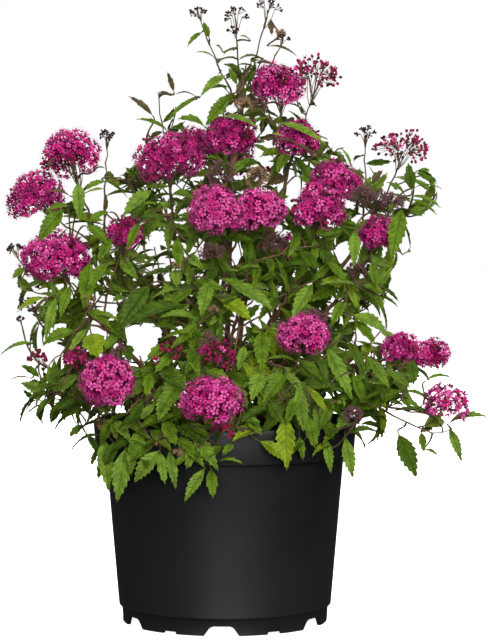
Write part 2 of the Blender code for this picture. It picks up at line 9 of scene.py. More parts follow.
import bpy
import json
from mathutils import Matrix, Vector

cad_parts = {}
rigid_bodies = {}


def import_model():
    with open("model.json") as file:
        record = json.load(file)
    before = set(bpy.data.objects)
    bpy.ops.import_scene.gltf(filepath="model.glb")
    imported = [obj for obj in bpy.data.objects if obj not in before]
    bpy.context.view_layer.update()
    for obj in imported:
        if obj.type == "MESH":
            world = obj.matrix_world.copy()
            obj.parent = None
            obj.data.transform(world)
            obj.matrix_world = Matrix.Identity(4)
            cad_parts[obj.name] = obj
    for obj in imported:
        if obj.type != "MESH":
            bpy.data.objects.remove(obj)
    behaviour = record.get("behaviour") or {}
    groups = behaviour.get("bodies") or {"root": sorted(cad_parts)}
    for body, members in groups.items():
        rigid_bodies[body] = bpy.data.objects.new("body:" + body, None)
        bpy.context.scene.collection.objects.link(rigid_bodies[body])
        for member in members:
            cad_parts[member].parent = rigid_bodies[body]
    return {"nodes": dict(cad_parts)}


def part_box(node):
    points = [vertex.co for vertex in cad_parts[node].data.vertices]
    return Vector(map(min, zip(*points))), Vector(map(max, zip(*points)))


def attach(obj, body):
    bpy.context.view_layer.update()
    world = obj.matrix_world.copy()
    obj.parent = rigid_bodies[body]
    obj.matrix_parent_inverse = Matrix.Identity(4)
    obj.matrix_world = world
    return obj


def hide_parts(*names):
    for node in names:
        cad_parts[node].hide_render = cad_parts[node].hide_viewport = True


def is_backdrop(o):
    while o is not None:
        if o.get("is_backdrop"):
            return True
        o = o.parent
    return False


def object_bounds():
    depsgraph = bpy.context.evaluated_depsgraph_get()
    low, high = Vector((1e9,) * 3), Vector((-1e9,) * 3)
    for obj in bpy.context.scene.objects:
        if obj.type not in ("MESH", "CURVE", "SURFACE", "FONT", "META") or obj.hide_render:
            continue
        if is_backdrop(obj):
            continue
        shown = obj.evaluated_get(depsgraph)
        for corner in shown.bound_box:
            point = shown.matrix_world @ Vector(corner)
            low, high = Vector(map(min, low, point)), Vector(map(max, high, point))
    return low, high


bl_info = {
    "name": "Potted Spirea Shrub",
    "version": (1, 0, 0),
    "blender": (4, 5, 0),
    "location": "3D View > Sidebar > Shrub",
    "description": "Grows a flowering spirea shrub in its nursery pot, with a studio round it",
    "category": "Add Mesh",
}

import functools
import json
import math
import random
from collections import namedtuple

import bmesh
import bpy
import numpy as np
from bpy.props import FloatProperty, FloatVectorProperty, IntProperty, PointerProperty
from mathutils import Matrix, Quaternion, Vector, noise

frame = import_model()

MM = 0.001
UP = Vector((0.0, 0.0, 1.0))
FRONT = Vector((0.0, -1.0, 0.0))
GOLDEN_ANGLE = math.pi * (3.0 - math.sqrt(5.0))
SEED = 11

# The photograph's view, for what is placed by where it shows
VIEW_WIDTH = 488
VIEW_HEIGHT = 640
VIEW_FOCUS = 2587.0
VIEW_PLACE = Vector((0.0188, -2.55, 0.4253))
VIEW_PITCH = math.atan(130.0 / VIEW_FOCUS)
VIEW_AHEAD = Vector((0.0, math.cos(VIEW_PITCH), -math.sin(VIEW_PITCH)))
VIEW_UP = Vector((0.0, math.sin(VIEW_PITCH), math.cos(VIEW_PITCH)))

# Pot, as in the model's source
RIM_TOP = 0.199
RIM_RADIUS = 0.130
RIM_FOOT = 0.166
RIM_FOOT_RADIUS = 0.1275
RIM_STEP = 0.004
LIP = 0.0012
WALL_TOP_RADIUS = 0.1175
WALL_FOOT = 0.0175
WALL_FOOT_RADIUS = 0.1049
WALL = 0.0022
FLOOR_TOP = 0.0145
FLOOR_UNDERSIDE = 0.0115
FOOT_RADIUS = 0.1017
FOOT_THICKNESS = 0.0045
LOBES = 6
FRONT_GAP = math.radians(-91.5)
# Openings of the foot ring: width at the top and at the foot, height, and rounding
FOOT_GAP = (0.021, 0.047, 0.0095, 0.0035)
FOOT_NOTCH = (0.014, 0.016, 0.0025, 0.0008)
PAD_RADIUS = 0.012
DRAIN_RADIUS = 0.005
DRAIN_RING = 0.080
SOIL_TOP = 0.178
SOIL_GAP = 0.0006

# Growth rule, as in the model's source
STEM_BASE_RADIUS = 0.0038
STEM_TIP_RADIUS = 0.0021
STEM_FLARE = 1.3
STEM_FOOT = 0.006
BRANCH_STEP = 0.06
BRANCH_PLACES = 6
FILL_REACH = 0.075
CROWN_HEART = Vector((0.0, 0.0, 0.30))
CROWN_FOOT = 0.178
CROWN_TOP = 0.58

# A shoot ends in a head at a place in millimetres; "leafy" has no head
Shoot = namedtuple("Shoot", "x y z kind width height tone", defaults=("leafy", 0, 0, "rose"))
Mass = namedtuple("Mass", "name fork shoots fill")

MASSES = [Mass(name, fork, [Shoot(*row) for row in shoots], fill) for name, fork, shoots, fill in (
    ("top", (16, 10, 474), (
        (10, 0, 593, "buds", 27, 31), (-26, 20, 599, "buds", 23, 12), (42, 30, 604, "buds", 31, 31),
        (57, 10, 573, "buds", 15, 12),
    ), 2),
    ("crest", (57, 5, 416), (
        (52, -10, 526, "full", 54, 42, "mauve"), (90, 10, 536, "open", 50, 44, "red"),
        (71, -20, 474, "full", 46, 31, "wine"), (123, -10, 474),
    ), 2),
    ("upper_front", (5, -45, 338), (
        (6, -20, 477, "full", 54, 35, "wine"), (-8, -115, 404, "full", 54, 46, "pink"),
        (34, -100, 404, "full", 48, 44, "pink"), (-12, -90, 364, "spent", 25, 23),
    ), 3),
    ("upper_left", (-47, -5, 370), (
        (-52, -40, 456, "full", 65, 52, "wine"), (-97, 20, 515), (-65, 0, 520),
        (-93, -30, 431, "buds", 23, 21),
    ), 2),
    ("left_crest", (-104, -15, 344), (
        (-151, -20, 459, "full", 57, 52, "rose"), (-185, -30, 418, "full", 56, 40, "wine"),
        (-117, 20, 477, "buds", 21, 19),
    ), 2),
    ("left", (-99, -40, 273), (
        (-162, -60, 359, "full", 69, 46, "rose"), (-206, -10, 366, "buds", 21, 12),
        (-193, -30, 312, "buds", 21, 25), (-95, -70, 383, "full", 35, 35, "wine"),
    ), 2),
    ("lower_left", (-96, -45, 227), (
        (-143, -90, 258, "buds", 29, 29, "red"), (-181, -40, 260, "buds", 21, 23, "red"),
        (-182, -60, 224),
    ), 2),
    ("front_left", (-54, -78, 231), (
        (-108, -140, 244, "full", 56, 54, "pink"), (-52, -130, 268, "buds", 35, 35, "red"),
        (-88, -125, 213),
    ), 2),
    ("front", (-5, -88, 231), (
        (-12, -175, 230, "full", 58, 48, "pink"), (-6, -130, 268, "open", 37, 31, "red"),
        (-1, -165, 201, "buds", 25, 23, "red"),
    ), 3),
    ("front_right", (52, -75, 231), (
        (76, -145, 289, "full", 50, 37, "pink"), (62, -135, 219), (109, -120, 229),
    ), 3),
    ("lower_right", (109, -42, 224), (
        (214, -60, 217, "open", 43, 40, "pink"), (222, -30, 192), (156, -75, 224),
        (122, -110, 212, "spent", 19, 19),
    ), 2),
    ("right", (104, -15, 248), (
        (171, -40, 271, "full", 37, 31, "rose"), (202, -30, 264, "full", 36, 32, "rose"),
        (156, -25, 297),
    ), 2),
    ("right_middle", (96, -25, 302), (
        (149, -60, 382, "full", 40, 35, "rose"), (161, -10, 344), (128, -60, 347, "spent", 21, 19),
    ), 3),
    ("upper_right", (73, -25, 338), (
        (88, -100, 406, "full", 52, 50, "mauve"), (108, -30, 433, "full", 50, 40, "rose"),
        (49, -60, 372, "spent", 25, 25),
    ), 2),
    ("right_crest", (123, 10, 359), (
        (175, 0, 464, "open", 58, 33, "red"), (139, 20, 479, "buds", 25, 25), (208, -5, 422),
        (146, -35, 411, "spent", 44, 29),
    ), 2),
    ("centre", (5, -50, 273), (
        (21, -95, 344), (-42, -100, 333), (62, -100, 328), (-5, -110, 307),
    ), 3),
)]

# The side that the front hides: name, azimuth in degrees, then reach, height and fork height in millimetres
REAR_MASSES = (
    ("back_low_left", 140, 178, 258, 226),
    ("back_low", 92, 180, 252, 226),
    ("back_low_right", 42, 182, 262, 228),
    ("back_left", 118, 158, 366, 284),
    ("back_right", 62, 156, 358, 280),
    ("back_upper", 88, 88, 458, 360),
)
REAR_FORK_SHARE = 0.55
REAR_FAN = (
    (0, 1.0, 0, "full", 52, 38, "rose"),
    (-24, 0.98, -18, "buds", 26, 24, "red"),
    (23, 0.96, 12, "full", 46, 36, "wine"),
    (4, 0.72, 45, "leafy", 0, 0, "rose"),
)

# Where the photograph shows through the crown, in its pixels
Gap = namedtuple("Gap", "left top right bottom")
GAPS = [Gap(*row) for row in (
    (97, 298, 116, 316), (92, 329, 111, 340), (128, 328, 156, 362), (150, 239, 160, 257),
    (187, 244, 202, 255), (228, 244, 240, 262), (244, 304, 274, 324), (223, 320, 247, 336),
    (359, 213, 371, 221), (336, 244, 345, 261), (84, 195, 131, 214), (110, 214, 126, 229),
    (64, 224, 83, 236), (72, 275, 80, 292), (53, 345, 64, 360), (173, 328, 183, 336),
    (357, 318, 385, 342), (412, 386, 440, 398), (357, 448, 396, 470), (385, 418, 396, 448),
    (426, 436, 449, 446),
)]

# How far the leaves reach to the left and the right at each row of the photograph
Reach = namedtuple("Reach", "row left right")
OUTLINE = [Reach(*row) for row in (
    (58, 215, 268), (80, 206, 322), (100, 187, 325), (115, 160, 305), (130, 150, 318), (150, 143, 340),
    (162, 138, 425), (180, 85, 438), (200, 60, 438), (215, 42, 430), (230, 40, 410), (255, 30, 413),
    (270, 15, 392), (290, 20, 392), (310, 18, 385), (330, 34, 388), (345, 10, 415), (355, 28, 446),
    (380, 15, 452), (400, 26, 450), (420, 24, 470), (432, 53, 458), (445, 72, 440), (460, 90, 418),
    (480, 96, 416), (510, 108, 345),
)]

# Leaves placed by where they show: the pixels of root and tip, the width in pixels, and the colour if it
# isn't mid; the lighter green among them is painted light and the darker green painted shade
ShownLeaf = namedtuple("ShownLeaf", "root_col root_row tip_col tip_row width tone", defaults=("mid",))
SHOWN_LEAVES = [ShownLeaf(*row) for row in (
    # Top sprigs
    (209, 38, 203, 21, 7), (202, 32, 187, 47, 7), (215, 58, 196, 52, 4, "lit"),
    (222, 51, 216, 45, 5, "deep"), (226, 75, 200, 97, 12, "lit"), (225, 64, 243, 75, 7, "deep"),
    (237, 85, 228, 67, 7), (228, 92, 216, 84, 5, "deep"), (229, 100, 205, 127, 15),
    (205, 127, 177, 119, 14), (198, 98, 167, 121, 7), (174, 92, 167, 71, 6, "bronze"),
    (170, 94, 157, 94, 3, "bronze"), (195, 96, 176, 94, 5, "bronze"), (153, 116, 128, 96, 8, "bronze"),
    (168, 131, 136, 119, 8), (222, 117, 259, 129, 10, "lit"), (268, 46, 297, 56, 5, "bronze"),
    (262, 58, 238, 60, 7, "deep"), (258, 60, 274, 67, 4, "bronze"), (245, 80, 236, 96, 9, "bronze"),
    (270, 20, 272, 36, 7, "bronze"), (250, 40, 240, 36, 5), (233, 50, 223, 55, 3),
    (276, 123, 328, 147, 11, "lit"), (327, 156, 343, 153, 3, "deep"), (318, 156, 330, 158, 5, "deep"),
    (298, 176, 312, 188, 7), (268, 136, 283, 137, 5, "fresh"),
    # Upper left
    (78, 182, 80, 223, 14, "lit"), (93, 171, 105, 168, 5), (107, 182, 84, 191, 10),
    (103, 180, 128, 198, 5, "deep"), (70, 206, 44, 215, 14), (64, 208, 38, 243, 18),
    (106, 211, 106, 193, 5, "bronze"), (110, 212, 88, 223, 9), (86, 226, 109, 246, 14),
    (152, 190, 122, 218, 17, "lit"), (160, 205, 132, 210, 10), (170, 225, 138, 218, 13, "deep"),
    (140, 222, 126, 252, 10), (112, 238, 98, 262, 12), (55, 158, 48, 166, 3, "bronze"),
    (70, 196, 46, 192, 6, "bronze"),
    # Left
    (26, 268, 12, 279, 9), (45, 297, 17, 312, 10, "fresh"), (56, 297, 45, 342, 11, "lit"),
    (34, 343, 0, 355, 9), (76, 331, 42, 346, 16), (87, 328, 68, 354, 9, "lit"),
    (91, 333, 98, 359, 25, "fresh"), (40, 378, 20, 365, 9, "deep"), (30, 378, 10, 380, 3, "bronze"),
    (66, 372, 48, 380, 14, "deep"), (60, 383, 20, 424, 20), (88, 411, 54, 431, 17, "lit"),
    (92, 318, 119, 322, 12, "lit"), (86, 310, 112, 330, 14), (104, 321, 128, 343, 14, "deep"),
    (122, 329, 104, 352, 12), (177, 238, 179, 272, 13), (197, 233, 186, 257, 11, "deep"),
    (70, 285, 60, 320, 12), (90, 262, 84, 310, 20), (108, 262, 86, 292, 12),
    (128, 262, 156, 262, 13, "deep"), (150, 285, 120, 328, 22, "deep"), (128, 300, 112, 302, 12),
    (186, 305, 118, 332, 22, "deep"), (185, 290, 150, 300, 8, "lit"), (175, 269, 177, 288, 13, "lit"),
    (198, 322, 159, 318, 16, "lit"), (198, 324, 177, 346, 13), (125, 345, 131, 362, 14, "deep"),
    (68, 393, 77, 420, 11), (150, 372, 146, 398, 12), (170, 345, 146, 362, 14),
    (200, 336, 160, 341, 14), (182, 334, 152, 327, 12, "deep"), (178, 352, 154, 374, 13),
    # Middle
    (209, 282, 201, 318, 17, "lit"), (229, 284, 275, 313, 18, "lit"), (236, 274, 262, 268, 12),
    (258, 262, 254, 290, 8), (240, 296, 222, 306, 10, "deep"), (313, 283, 291, 323, 16, "lit"),
    (362, 290, 318, 286, 10, "lit"), (327, 262, 346, 281, 10), (355, 231, 354, 268, 13, "lit"),
    (372, 262, 376, 288, 12), (300, 250, 318, 272, 12, "deep"), (282, 268, 318, 270, 14, "deep"),
    (220, 300, 252, 322, 20, "fresh"), (300, 365, 263, 361, 13, "lit"), (255, 384, 242, 389, 8),
    (298, 384, 304, 433, 15, "lit"), (307, 387, 327, 413, 10, "fresh"), (325, 345, 353, 402, 17, "lit"),
    (262, 330, 262, 372, 18), (232, 380, 248, 410, 14), (245, 345, 238, 372, 10, "lit"),
    (204, 372, 230, 382, 14), (345, 300, 330, 328, 12), (279, 297, 258, 322, 13, "deep"),
    (243, 322, 261, 304, 11, "deep"), (158, 372, 190, 395, 14, "deep"), (200, 330, 170, 350, 13),
    (203, 346, 184, 376, 13, "deep"), (188, 350, 200, 378, 12),
    # Right
    (412, 191, 408, 162, 12, "deep"), (420, 176, 437, 184, 7, "deep"), (415, 187, 442, 189, 3),
    (410, 196, 441, 208, 8), (411, 199, 437, 215, 7), (405, 195, 386, 182, 7), (409, 199, 387, 212, 10),
    (372, 183, 383, 170, 9, "bronze"), (366, 181, 346, 168, 6, "bronze"), (402, 208, 391, 261, 19),
    (380, 287, 394, 265, 6, "lit"), (362, 285, 384, 296, 12), (383, 287, 399, 302, 5, "deep"),
    (380, 296, 398, 307, 5, "deep"), (352, 315, 389, 336, 20, "lit"), (354, 320, 376, 345, 12),
    (348, 340, 366, 378, 11, "deep"), (368, 357, 390, 390, 12), (404, 391, 366, 412, 17),
    (404, 391, 435, 408, 11), (385, 371, 411, 389, 11), (411, 360, 414, 385, 13, "deep"),
    (425, 381, 452, 378, 7), (440, 424, 392, 411, 15), (448, 424, 488, 417, 14, "lit"),
    (358, 420, 387, 420, 22, "deep"), (352, 433, 384, 437, 18), (398, 433, 417, 479, 20, "deep"),
    (421, 432, 424, 453, 9), (424, 450, 438, 456, 6, "lit"), (449, 427, 462, 463, 11, "lit"),
    # Lower left
    (64, 393, 43, 407, 6, "bronze"), (52, 384, 31, 391, 6, "deep"), (84, 425, 69, 437, 9),
    (100, 435, 71, 451, 10), (98, 448, 91, 466, 6, "deep"), (178, 416, 134, 434, 20),
    (150, 412, 118, 430, 15), (180, 434, 142, 449, 16, "deep"), (136, 438, 110, 454, 14, "deep"),
    (186, 372, 160, 413, 22), (112, 415, 117, 441, 9), (94, 404, 62, 418, 13),
    (72, 388, 90, 416, 12, "deep"), (104, 424, 76, 436, 11, "deep"), (110, 420, 132, 444, 13, "lit"),
    (116, 416, 100, 446, 13), (122, 424, 150, 440, 13), (118, 444, 150, 449, 10, "lit"),
    (128, 414, 106, 430, 12, "deep"), (141, 418, 119, 433, 13, "lit"), (146, 428, 128, 456, 15),
    (150, 430, 172, 452, 15), (164, 420, 176, 446, 16), (170, 388, 158, 422, 16, "lit"),
    (176, 426, 205, 446, 17, "deep"), (188, 424, 210, 440, 13), (184, 440, 204, 468, 17),
    (144, 402, 130, 424, 13, "deep"), (156, 404, 140, 420, 10, "lit"), (196, 444, 186, 470, 13, "lit"),
    (88, 436, 99, 458, 9, "deep"), (120, 440, 104, 466, 13, "deep"), (140, 446, 148, 470, 12, "deep"),
    # Over the rim
    (222, 446, 206, 460, 11), (234, 444, 222, 456, 9, "lit"), (243, 412, 262, 436, 13),
    (268, 400, 282, 424, 13, "deep"), (298, 394, 286, 424, 13), (318, 414, 334, 440, 13, "deep"),
    (334, 400, 320, 428, 12), (344, 424, 322, 446, 13), (360, 424, 386, 434, 12, "deep"),
    (304, 440, 290, 456, 11, "deep"), (103, 455, 98, 480, 8), (103, 437, 109, 493, 18, "lit"),
    (126, 447, 117, 503, 20, "lit"), (134, 440, 131, 476, 12), (158, 442, 129, 463, 15),
    (160, 450, 134, 483, 18, "lit"), (160, 452, 165, 485, 12, "lit"), (169, 450, 176, 490, 11, "lit"),
    (196, 446, 175, 467, 13), (172, 438, 200, 458, 13), (192, 433, 219, 472, 16, "lit"),
    (216, 463, 244, 465, 11, "lit"), (205, 468, 184, 503, 13, "lit"), (211, 468, 213, 499, 12),
    (270, 408, 240, 424, 14, "deep"), (263, 430, 232, 442, 19, "fresh"),
    (259, 441, 289, 463, 14, "fresh"), (285, 414, 287, 471, 20, "fresh"), (299, 436, 303, 461, 9),
    (309, 416, 315, 449, 15), (332, 447, 312, 457, 11, "fresh"), (326, 438, 331, 474, 11, "lit"),
    (345, 436, 353, 479, 14, "lit"), (350, 430, 365, 449, 14), (350, 408, 337, 432, 12, "lit"),
    (322, 398, 342, 420, 14, "deep"), (352, 374, 364, 404, 12), (286, 374, 262, 406, 17),
    (262, 370, 251, 402, 17, "lit"), (232, 420, 262, 428, 12, "deep"),
)]

# Heads placed by where they show: the pixels of the middle and the size, the kind and the colour
ShownHead = namedtuple("ShownHead", "col row width height kind tone")
SHOWN_HEADS = [ShownHead(*row) for row in (
    (222, 177, 32, 32, "spent", "mauve"), (258, 180, 26, 26, "spent", "tan"),
    (244, 106, 18, 14, "spent", "tan"), (364, 197, 26, 22, "spent", "mauve"),
    (392, 203, 22, 20, "spent", "mauve"), (258, 105, 16, 16, "spent", "mauve"),
    (102, 425, 13, 18, "spent", "tan"), (160, 442, 10, 9, "spent", "tan"),
    (179, 454, 11, 10, "spent", "tan"), (88, 302, 14, 15, "spent", "tan"),
    (213, 310, 8, 8, "spent", "tan"), (178, 266, 11, 8, "spent", "tan"),
    (314, 318, 26, 11, "spent", "mauve"), (119, 352, 14, 14, "spent", "mauve"),
    (210, 341, 17, 14, "spent", "mauve"), (76, 358, 20, 18, "open", "mauve"),
    (20, 320, 9, 7, "buds", "dark"), (34, 311, 12, 8, "buds", "dark"),
    (233, 32, 14, 12, "buds", "dark"), (280, 34, 9, 7, "spent", "tan"),
)]


def even(first, last, count):
    """Values in equal steps from first to last."""
    return [first + (last - first) * index / (count - 1) for index in range(count)]


def blend(first, last, share):
    """The value at a share of the way from first to last, kept between the two."""
    share = min(max(share, 0.0), 1.0)
    return first + (last - first) * share


def on_ring(radius, angle, *height):
    """The place on a level ring at an angle, as two parts, or three with a height."""
    return (radius * math.cos(angle), radius * math.sin(angle), *height)


def rear_mass(name, azimuth, reach, height, fork_height):
    """A mass of the hidden side: a fan of shoots about one direction."""
    def spot(turn, share, level):
        return on_ring(reach * share, math.radians(azimuth + turn), level)

    shoots = [Shoot(*spot(turn, share, height + rise), *head) for turn, share, rise, *head in REAR_FAN]
    return Mass(name, spot(0, REAR_FORK_SHARE, fork_height), shoots, 2)


ALL_MASSES = MASSES + [rear_mass(*row) for row in REAR_MASSES]
STEM_NODES = [f"stem_{mass.name}" for mass in ALL_MASSES]
FOLIAGE_NODES = [f"foliage_{mass.name}" for mass in ALL_MASSES]


def sideways(direction, angle):
    """A unit vector square to direction, turned about it by angle."""
    side = direction.orthogonal().normalized()
    return Quaternion(direction, angle) @ side


def outward(place):
    """The level direction from the crown's middle to a place."""
    away = place - CROWN_HEART
    away.z = 0.0
    return away.normalized() if away.length > MM else FRONT.copy()


def squared(vector, axis):
    """The part of a vector that is square to an axis, as a unit vector."""
    return (vector - axis * vector.dot(axis)).normalized()


def any_way(rng):
    """A vector of no set direction, each part of it between -1 and 1."""
    return Vector([rng.uniform(-1, 1) for _ in range(3)])


def bezier(start, leave, arrive, end, count):
    """Even steps along a cubic curve between two places."""
    points = []
    for t in even(0.0, 1.0, count):
        s = 1.0 - t
        points.append(start * s ** 3 + leave * 3 * s * s * t + arrive * 3 * s * t * t + end * t ** 3)
    return points


def along_line(points, share):
    """The place and the heading at a share of the way along a line."""
    spans = list(zip(points, points[1:]))
    left = share * line_length(points)
    for first, second in spans[:-1]:
        length = (second - first).length
        if left <= length:
            break
        left -= length
    else:
        first, second = spans[-1]
    heading = (second - first).normalized()
    return first + heading * left, heading


def line_length(points):
    return sum((second - first).length for first, second in zip(points, points[1:]))


def place_shown(column, row, depth):
    """The place at a depth along Y that shows at a pixel of the photograph."""
    ray = VIEW_AHEAD * VIEW_FOCUS + VIEW_UP * (VIEW_HEIGHT / 2 - row)
    ray.x += column - VIEW_WIDTH / 2
    return VIEW_PLACE + ray * ((depth - VIEW_PLACE.y) / ray.y)


# The crown's front surface, as reach towards the front at a height
FRONT_REACH = ((0.15, 0.150), (0.23, 0.150), (0.33, 0.118), (0.42, 0.090), (0.50, 0.040), (0.60, 0.0))
CROWN_HALF_WIDTH = 0.235
GUESSED_DEPTH = -0.08
# How far the root and the tip of a listed leaf stand behind that surface
ROOT_BEHIND = 0.008
TIP_BEHIND = -0.004
RIM_SPACE = 0.140


def front_depth(x, z):
    """How far forward, as -Y, the crown reaches at a place in the view; below the rim it hugs the pot."""
    roundness = math.sqrt(max(0.0, 1.0 - (x / CROWN_HALF_WIDTH) ** 2))
    crown = np.interp(z, *zip(*FRONT_REACH)) * (0.25 + 0.75 * roundness)
    pot = math.sqrt(max(0.0, RIM_SPACE ** 2 - x * x))
    return -float(blend(max(pot, 0.03), crown, (z - RIM_TOP) / 0.04))


Twig = namedtuple("Twig", "line radii kind ends")
Leaf = namedtuple("Leaf", "root along face length width curl fold twist tone")
Head = namedtuple("Head", "kind centre width height tone line lumps")
Lump = namedtuple("Lump", "centre radius way kind")


def pixels_of(places):
    """The columns and rows of the photograph where an array of places shows."""
    rays = places - np.array(VIEW_PLACE)
    depth = rays @ np.array(VIEW_AHEAD)
    cols = VIEW_WIDTH / 2 + VIEW_FOCUS * rays[:, 0] / depth
    return cols, VIEW_HEIGHT / 2 - VIEW_FOCUS * (rays @ np.array(VIEW_UP)) / depth


def in_gap(cols, rows, margin=0):
    """True where any of the pixels is in a gap of the crown, or within a margin of one."""
    gaps = np.array(GAPS)
    across = (cols[:, None] > gaps[:, 0] - margin) & (cols[:, None] < gaps[:, 2] + margin)
    down = (rows[:, None] > gaps[:, 1] - margin) & (rows[:, None] < gaps[:, 3] + margin)
    return bool(np.any(across & down))


BURIED = 0.03
# The share of a listed leaf's width, on each side of its midrib, that nothing may hide
HIDDEN_SHARE = 0.42


class Sight:
    """What the photograph shows of the crown: its heads and nearest leaves, its gaps and its outline."""

    def __init__(self, heads):
        seen = [head for head in heads if head.centre.y < BURIED]
        self.head_places = np.array([head.centre for head in seen])
        scale = VIEW_FOCUS / (self.head_places[:, 1] - VIEW_PLACE.y)
        self.head_cols, self.head_rows = pixels_of(self.head_places)
        self.head_wide = np.array([head.width for head in seen]) / 2 * scale
        self.head_tall = np.array([head.height for head in seen]) / 2 * scale
        ends = np.array([leaf[:4] for leaf in SHOWN_LEAVES], dtype=float)
        self.roots = ends[:, :2]
        self.spans = ends[:, 2:] - self.roots
        self.half_widths = np.array([leaf.width for leaf in SHOWN_LEAVES]) * HIDDEN_SHARE
        self.leaf_depths = []

    def before_head(self, places):
        """True where something would stand before a head."""
        cols, rows = pixels_of(places)
        across = (cols[:, None] - self.head_cols) / self.head_wide
        down = (rows[:, None] - self.head_rows) / self.head_tall
        nearer = places[:, 1, None] < self.head_places[:, 1]
        return bool(np.any((across ** 2 + down ** 2 < 1.0) & nearer))

    def before_leaf(self, places):
        """True where something would stand before a leaf that is placed by where it shows."""
        spots = np.stack(pixels_of(places), axis=1)[:, None, :] - self.roots
        share = np.clip((spots * self.spans).sum(axis=2) / (self.spans ** 2).sum(axis=1), 0.05, 0.95)
        away = np.linalg.norm(spots - share[:, :, None] * self.spans, axis=2)
        nearer = places[:, 1, None] < np.array(self.leaf_depths)
        return bool(np.any((away < self.half_widths) & nearer))

    def off_crown(self, places):
        """True where something would fill a gap of the crown or reach past its outline."""
        cols, rows = pixels_of(places)
        levels, lefts, rights = np.array(OUTLINE).T
        lefts = np.interp(rows, levels, lefts)
        rights = np.interp(rows, levels, rights)
        if np.any((cols < lefts) | (cols > rights) | (rows < OUTLINE[0].row)):
            return True
        return in_gap(cols, rows)


class Crown:
    """The plan of all that grows: its twigs, leaves and heads."""

    def __init__(self):
        self.stems = []
        self.twigs = []
        self.leaves = []
        self.heads = []
        self.sight = None
        self.wood = None

    def know_wood(self):
        """Keeps the spans of all shoots and side twigs, for nearest_wood."""
        pairs = [pair for twig in self.twigs for pair in zip(twig.line, twig.line[1:])]
        starts = np.array([first for first, _ in pairs])
        self.wood = (starts, np.array([second for _, second in pairs]) - starts)

    def nearest_wood(self, place):
        """The closest place on any shoot or side twig, and the heading there."""
        starts, spans = self.wood
        target = np.array(place)
        share = np.clip(((target - starts) * spans).sum(axis=1) / (spans ** 2).sum(axis=1), 0.0, 1.0)
        spots = starts + share[:, None] * spans
        best = int(np.argmin(np.linalg.norm(spots - target, axis=1)))
        return Vector(spots[best]), Vector(spans[best]).normalized()


STEM_READINGS = 26
STEM_END = 0.005


def stem_line(node, fork):
    """The middle of a stem of the frame, read at even heights, and then its fork."""
    mesh = frame["nodes"][node].data
    edges = [(mesh.vertices[a].co, mesh.vertices[b].co) for a, b in (edge.vertices for edge in mesh.edges)]
    low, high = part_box(node)
    line = []
    for level in even(low.z + 0.1 * MM, high.z - STEM_END, STEM_READINGS):
        crossed = [(a, b) for a, b in edges if (a.z - level) * (b.z - level) < 0]
        cuts = [a.lerp(b, (level - a.z) / (b.z - a.z)) for a, b in crossed]
        line.append(sum(cuts, Vector()) / len(cuts))
    return line + [fork]


def shoot_line(start, heading, tip):
    """Points of a shoot: off along its parent, then up and out to its tip."""
    reach = (tip - start).length
    towards = (tip - start).normalized()
    leave = start + (heading * 0.4 + towards * 0.6).normalized() * reach * 0.35
    arrive = tip - (UP * 0.6 + towards * 0.6).normalized() * reach * 0.30
    return bezier(start, leave, arrive, tip, SHOOT_STATIONS)


def fill_tips(mass, heading, rng):
    """Leafy shoots that fill a mass, fanned about the way its stem arrives."""
    fork = Vector(mass.fork) * MM
    for index in range(mass.fill):
        out = sideways(heading, index * GOLDEN_ANGLE + rng.uniform(0, 1))
        direction = (heading * 0.45 + out + outward(fork) * 0.5 + UP * 0.15).normalized()
        yield fork + direction * FILL_REACH * rng.uniform(0.85, 1.2)


SHOOT_STATIONS = 14
SHOOT_RADIUS = 0.0013
SHOOT_TIP_RADIUS = 0.0006
SHOOT_TAPER = 1.7
SHOOT_WAVER = 0.0012
OLD_WOOD_TOP = 0.42


HEAD_LEVEL = 0.72
LUMP_COUNTS = {"full": 16, "open": 12, "spent": 9, "buds": 6}
LUMP_SIZES = {"full": 0.185, "open": 0.19, "spent": 0.20, "buds": 0.15}
LUMP_REACH = {"full": 0.62, "open": 0.66, "spent": 0.62, "buds": 0.64}
LOWEST_LUMP = {"full": -0.55, "open": -0.35, "spent": -0.30, "buds": -0.05}
BUDDED_SHARE = {"pink": 0.0, "rose": 0.10, "mauve": 0.2, "wine": 0.16, "red": 0.5}
SMALL_HEAD = 0.018


def make_head(row, centre, facing, line, rng):
    """The head of a row of a table, as a dome of smaller clusters about its middle."""
    kind, width, height = row.kind, row.width * MM, row.height * MM
    axis = (facing * (1.0 - HEAD_LEVEL) + UP * HEAD_LEVEL).normalized()
    turn = axis.to_track_quat("Z", "Y")
    count = LUMP_COUNTS[kind] if width > SMALL_HEAD else 4
    lumps = []
    start = rng.uniform(0, math.tau)
    for index in range(count):
        level = blend(1.0, LOWEST_LUMP[kind], (index + 0.35) / count)
        ring = math.sqrt(1.0 - level * level)
        angle = start + index * GOLDEN_ANGLE + rng.uniform(-0.25, 0.25)
        way = Vector(on_ring(ring, angle, level))
        reach = LUMP_REACH[kind] * rng.uniform(0.82, 1.16)
        offset = Vector((way.x * width / 2, way.y * width / 2, way.z * height / 2)) * reach
        budded = kind != "full" or rng.random() < BUDDED_SHARE.get(row.tone, 0.0)
        radius = width * LUMP_SIZES[kind] * rng.uniform(0.85, 1.1)
        lumps.append(Lump(centre + turn @ offset, radius, turn @ way, "buds" if budded else "full"))
    return Head(kind, centre, width, height, row.tone, line, lumps)


GAP_MARGIN = 14


def fills_gap(place):
    """True where a head of the hidden side would show in a gap of the crown."""
    return place.y > BURIED and in_gap(*pixels_of(np.array([place])), GAP_MARGIN)


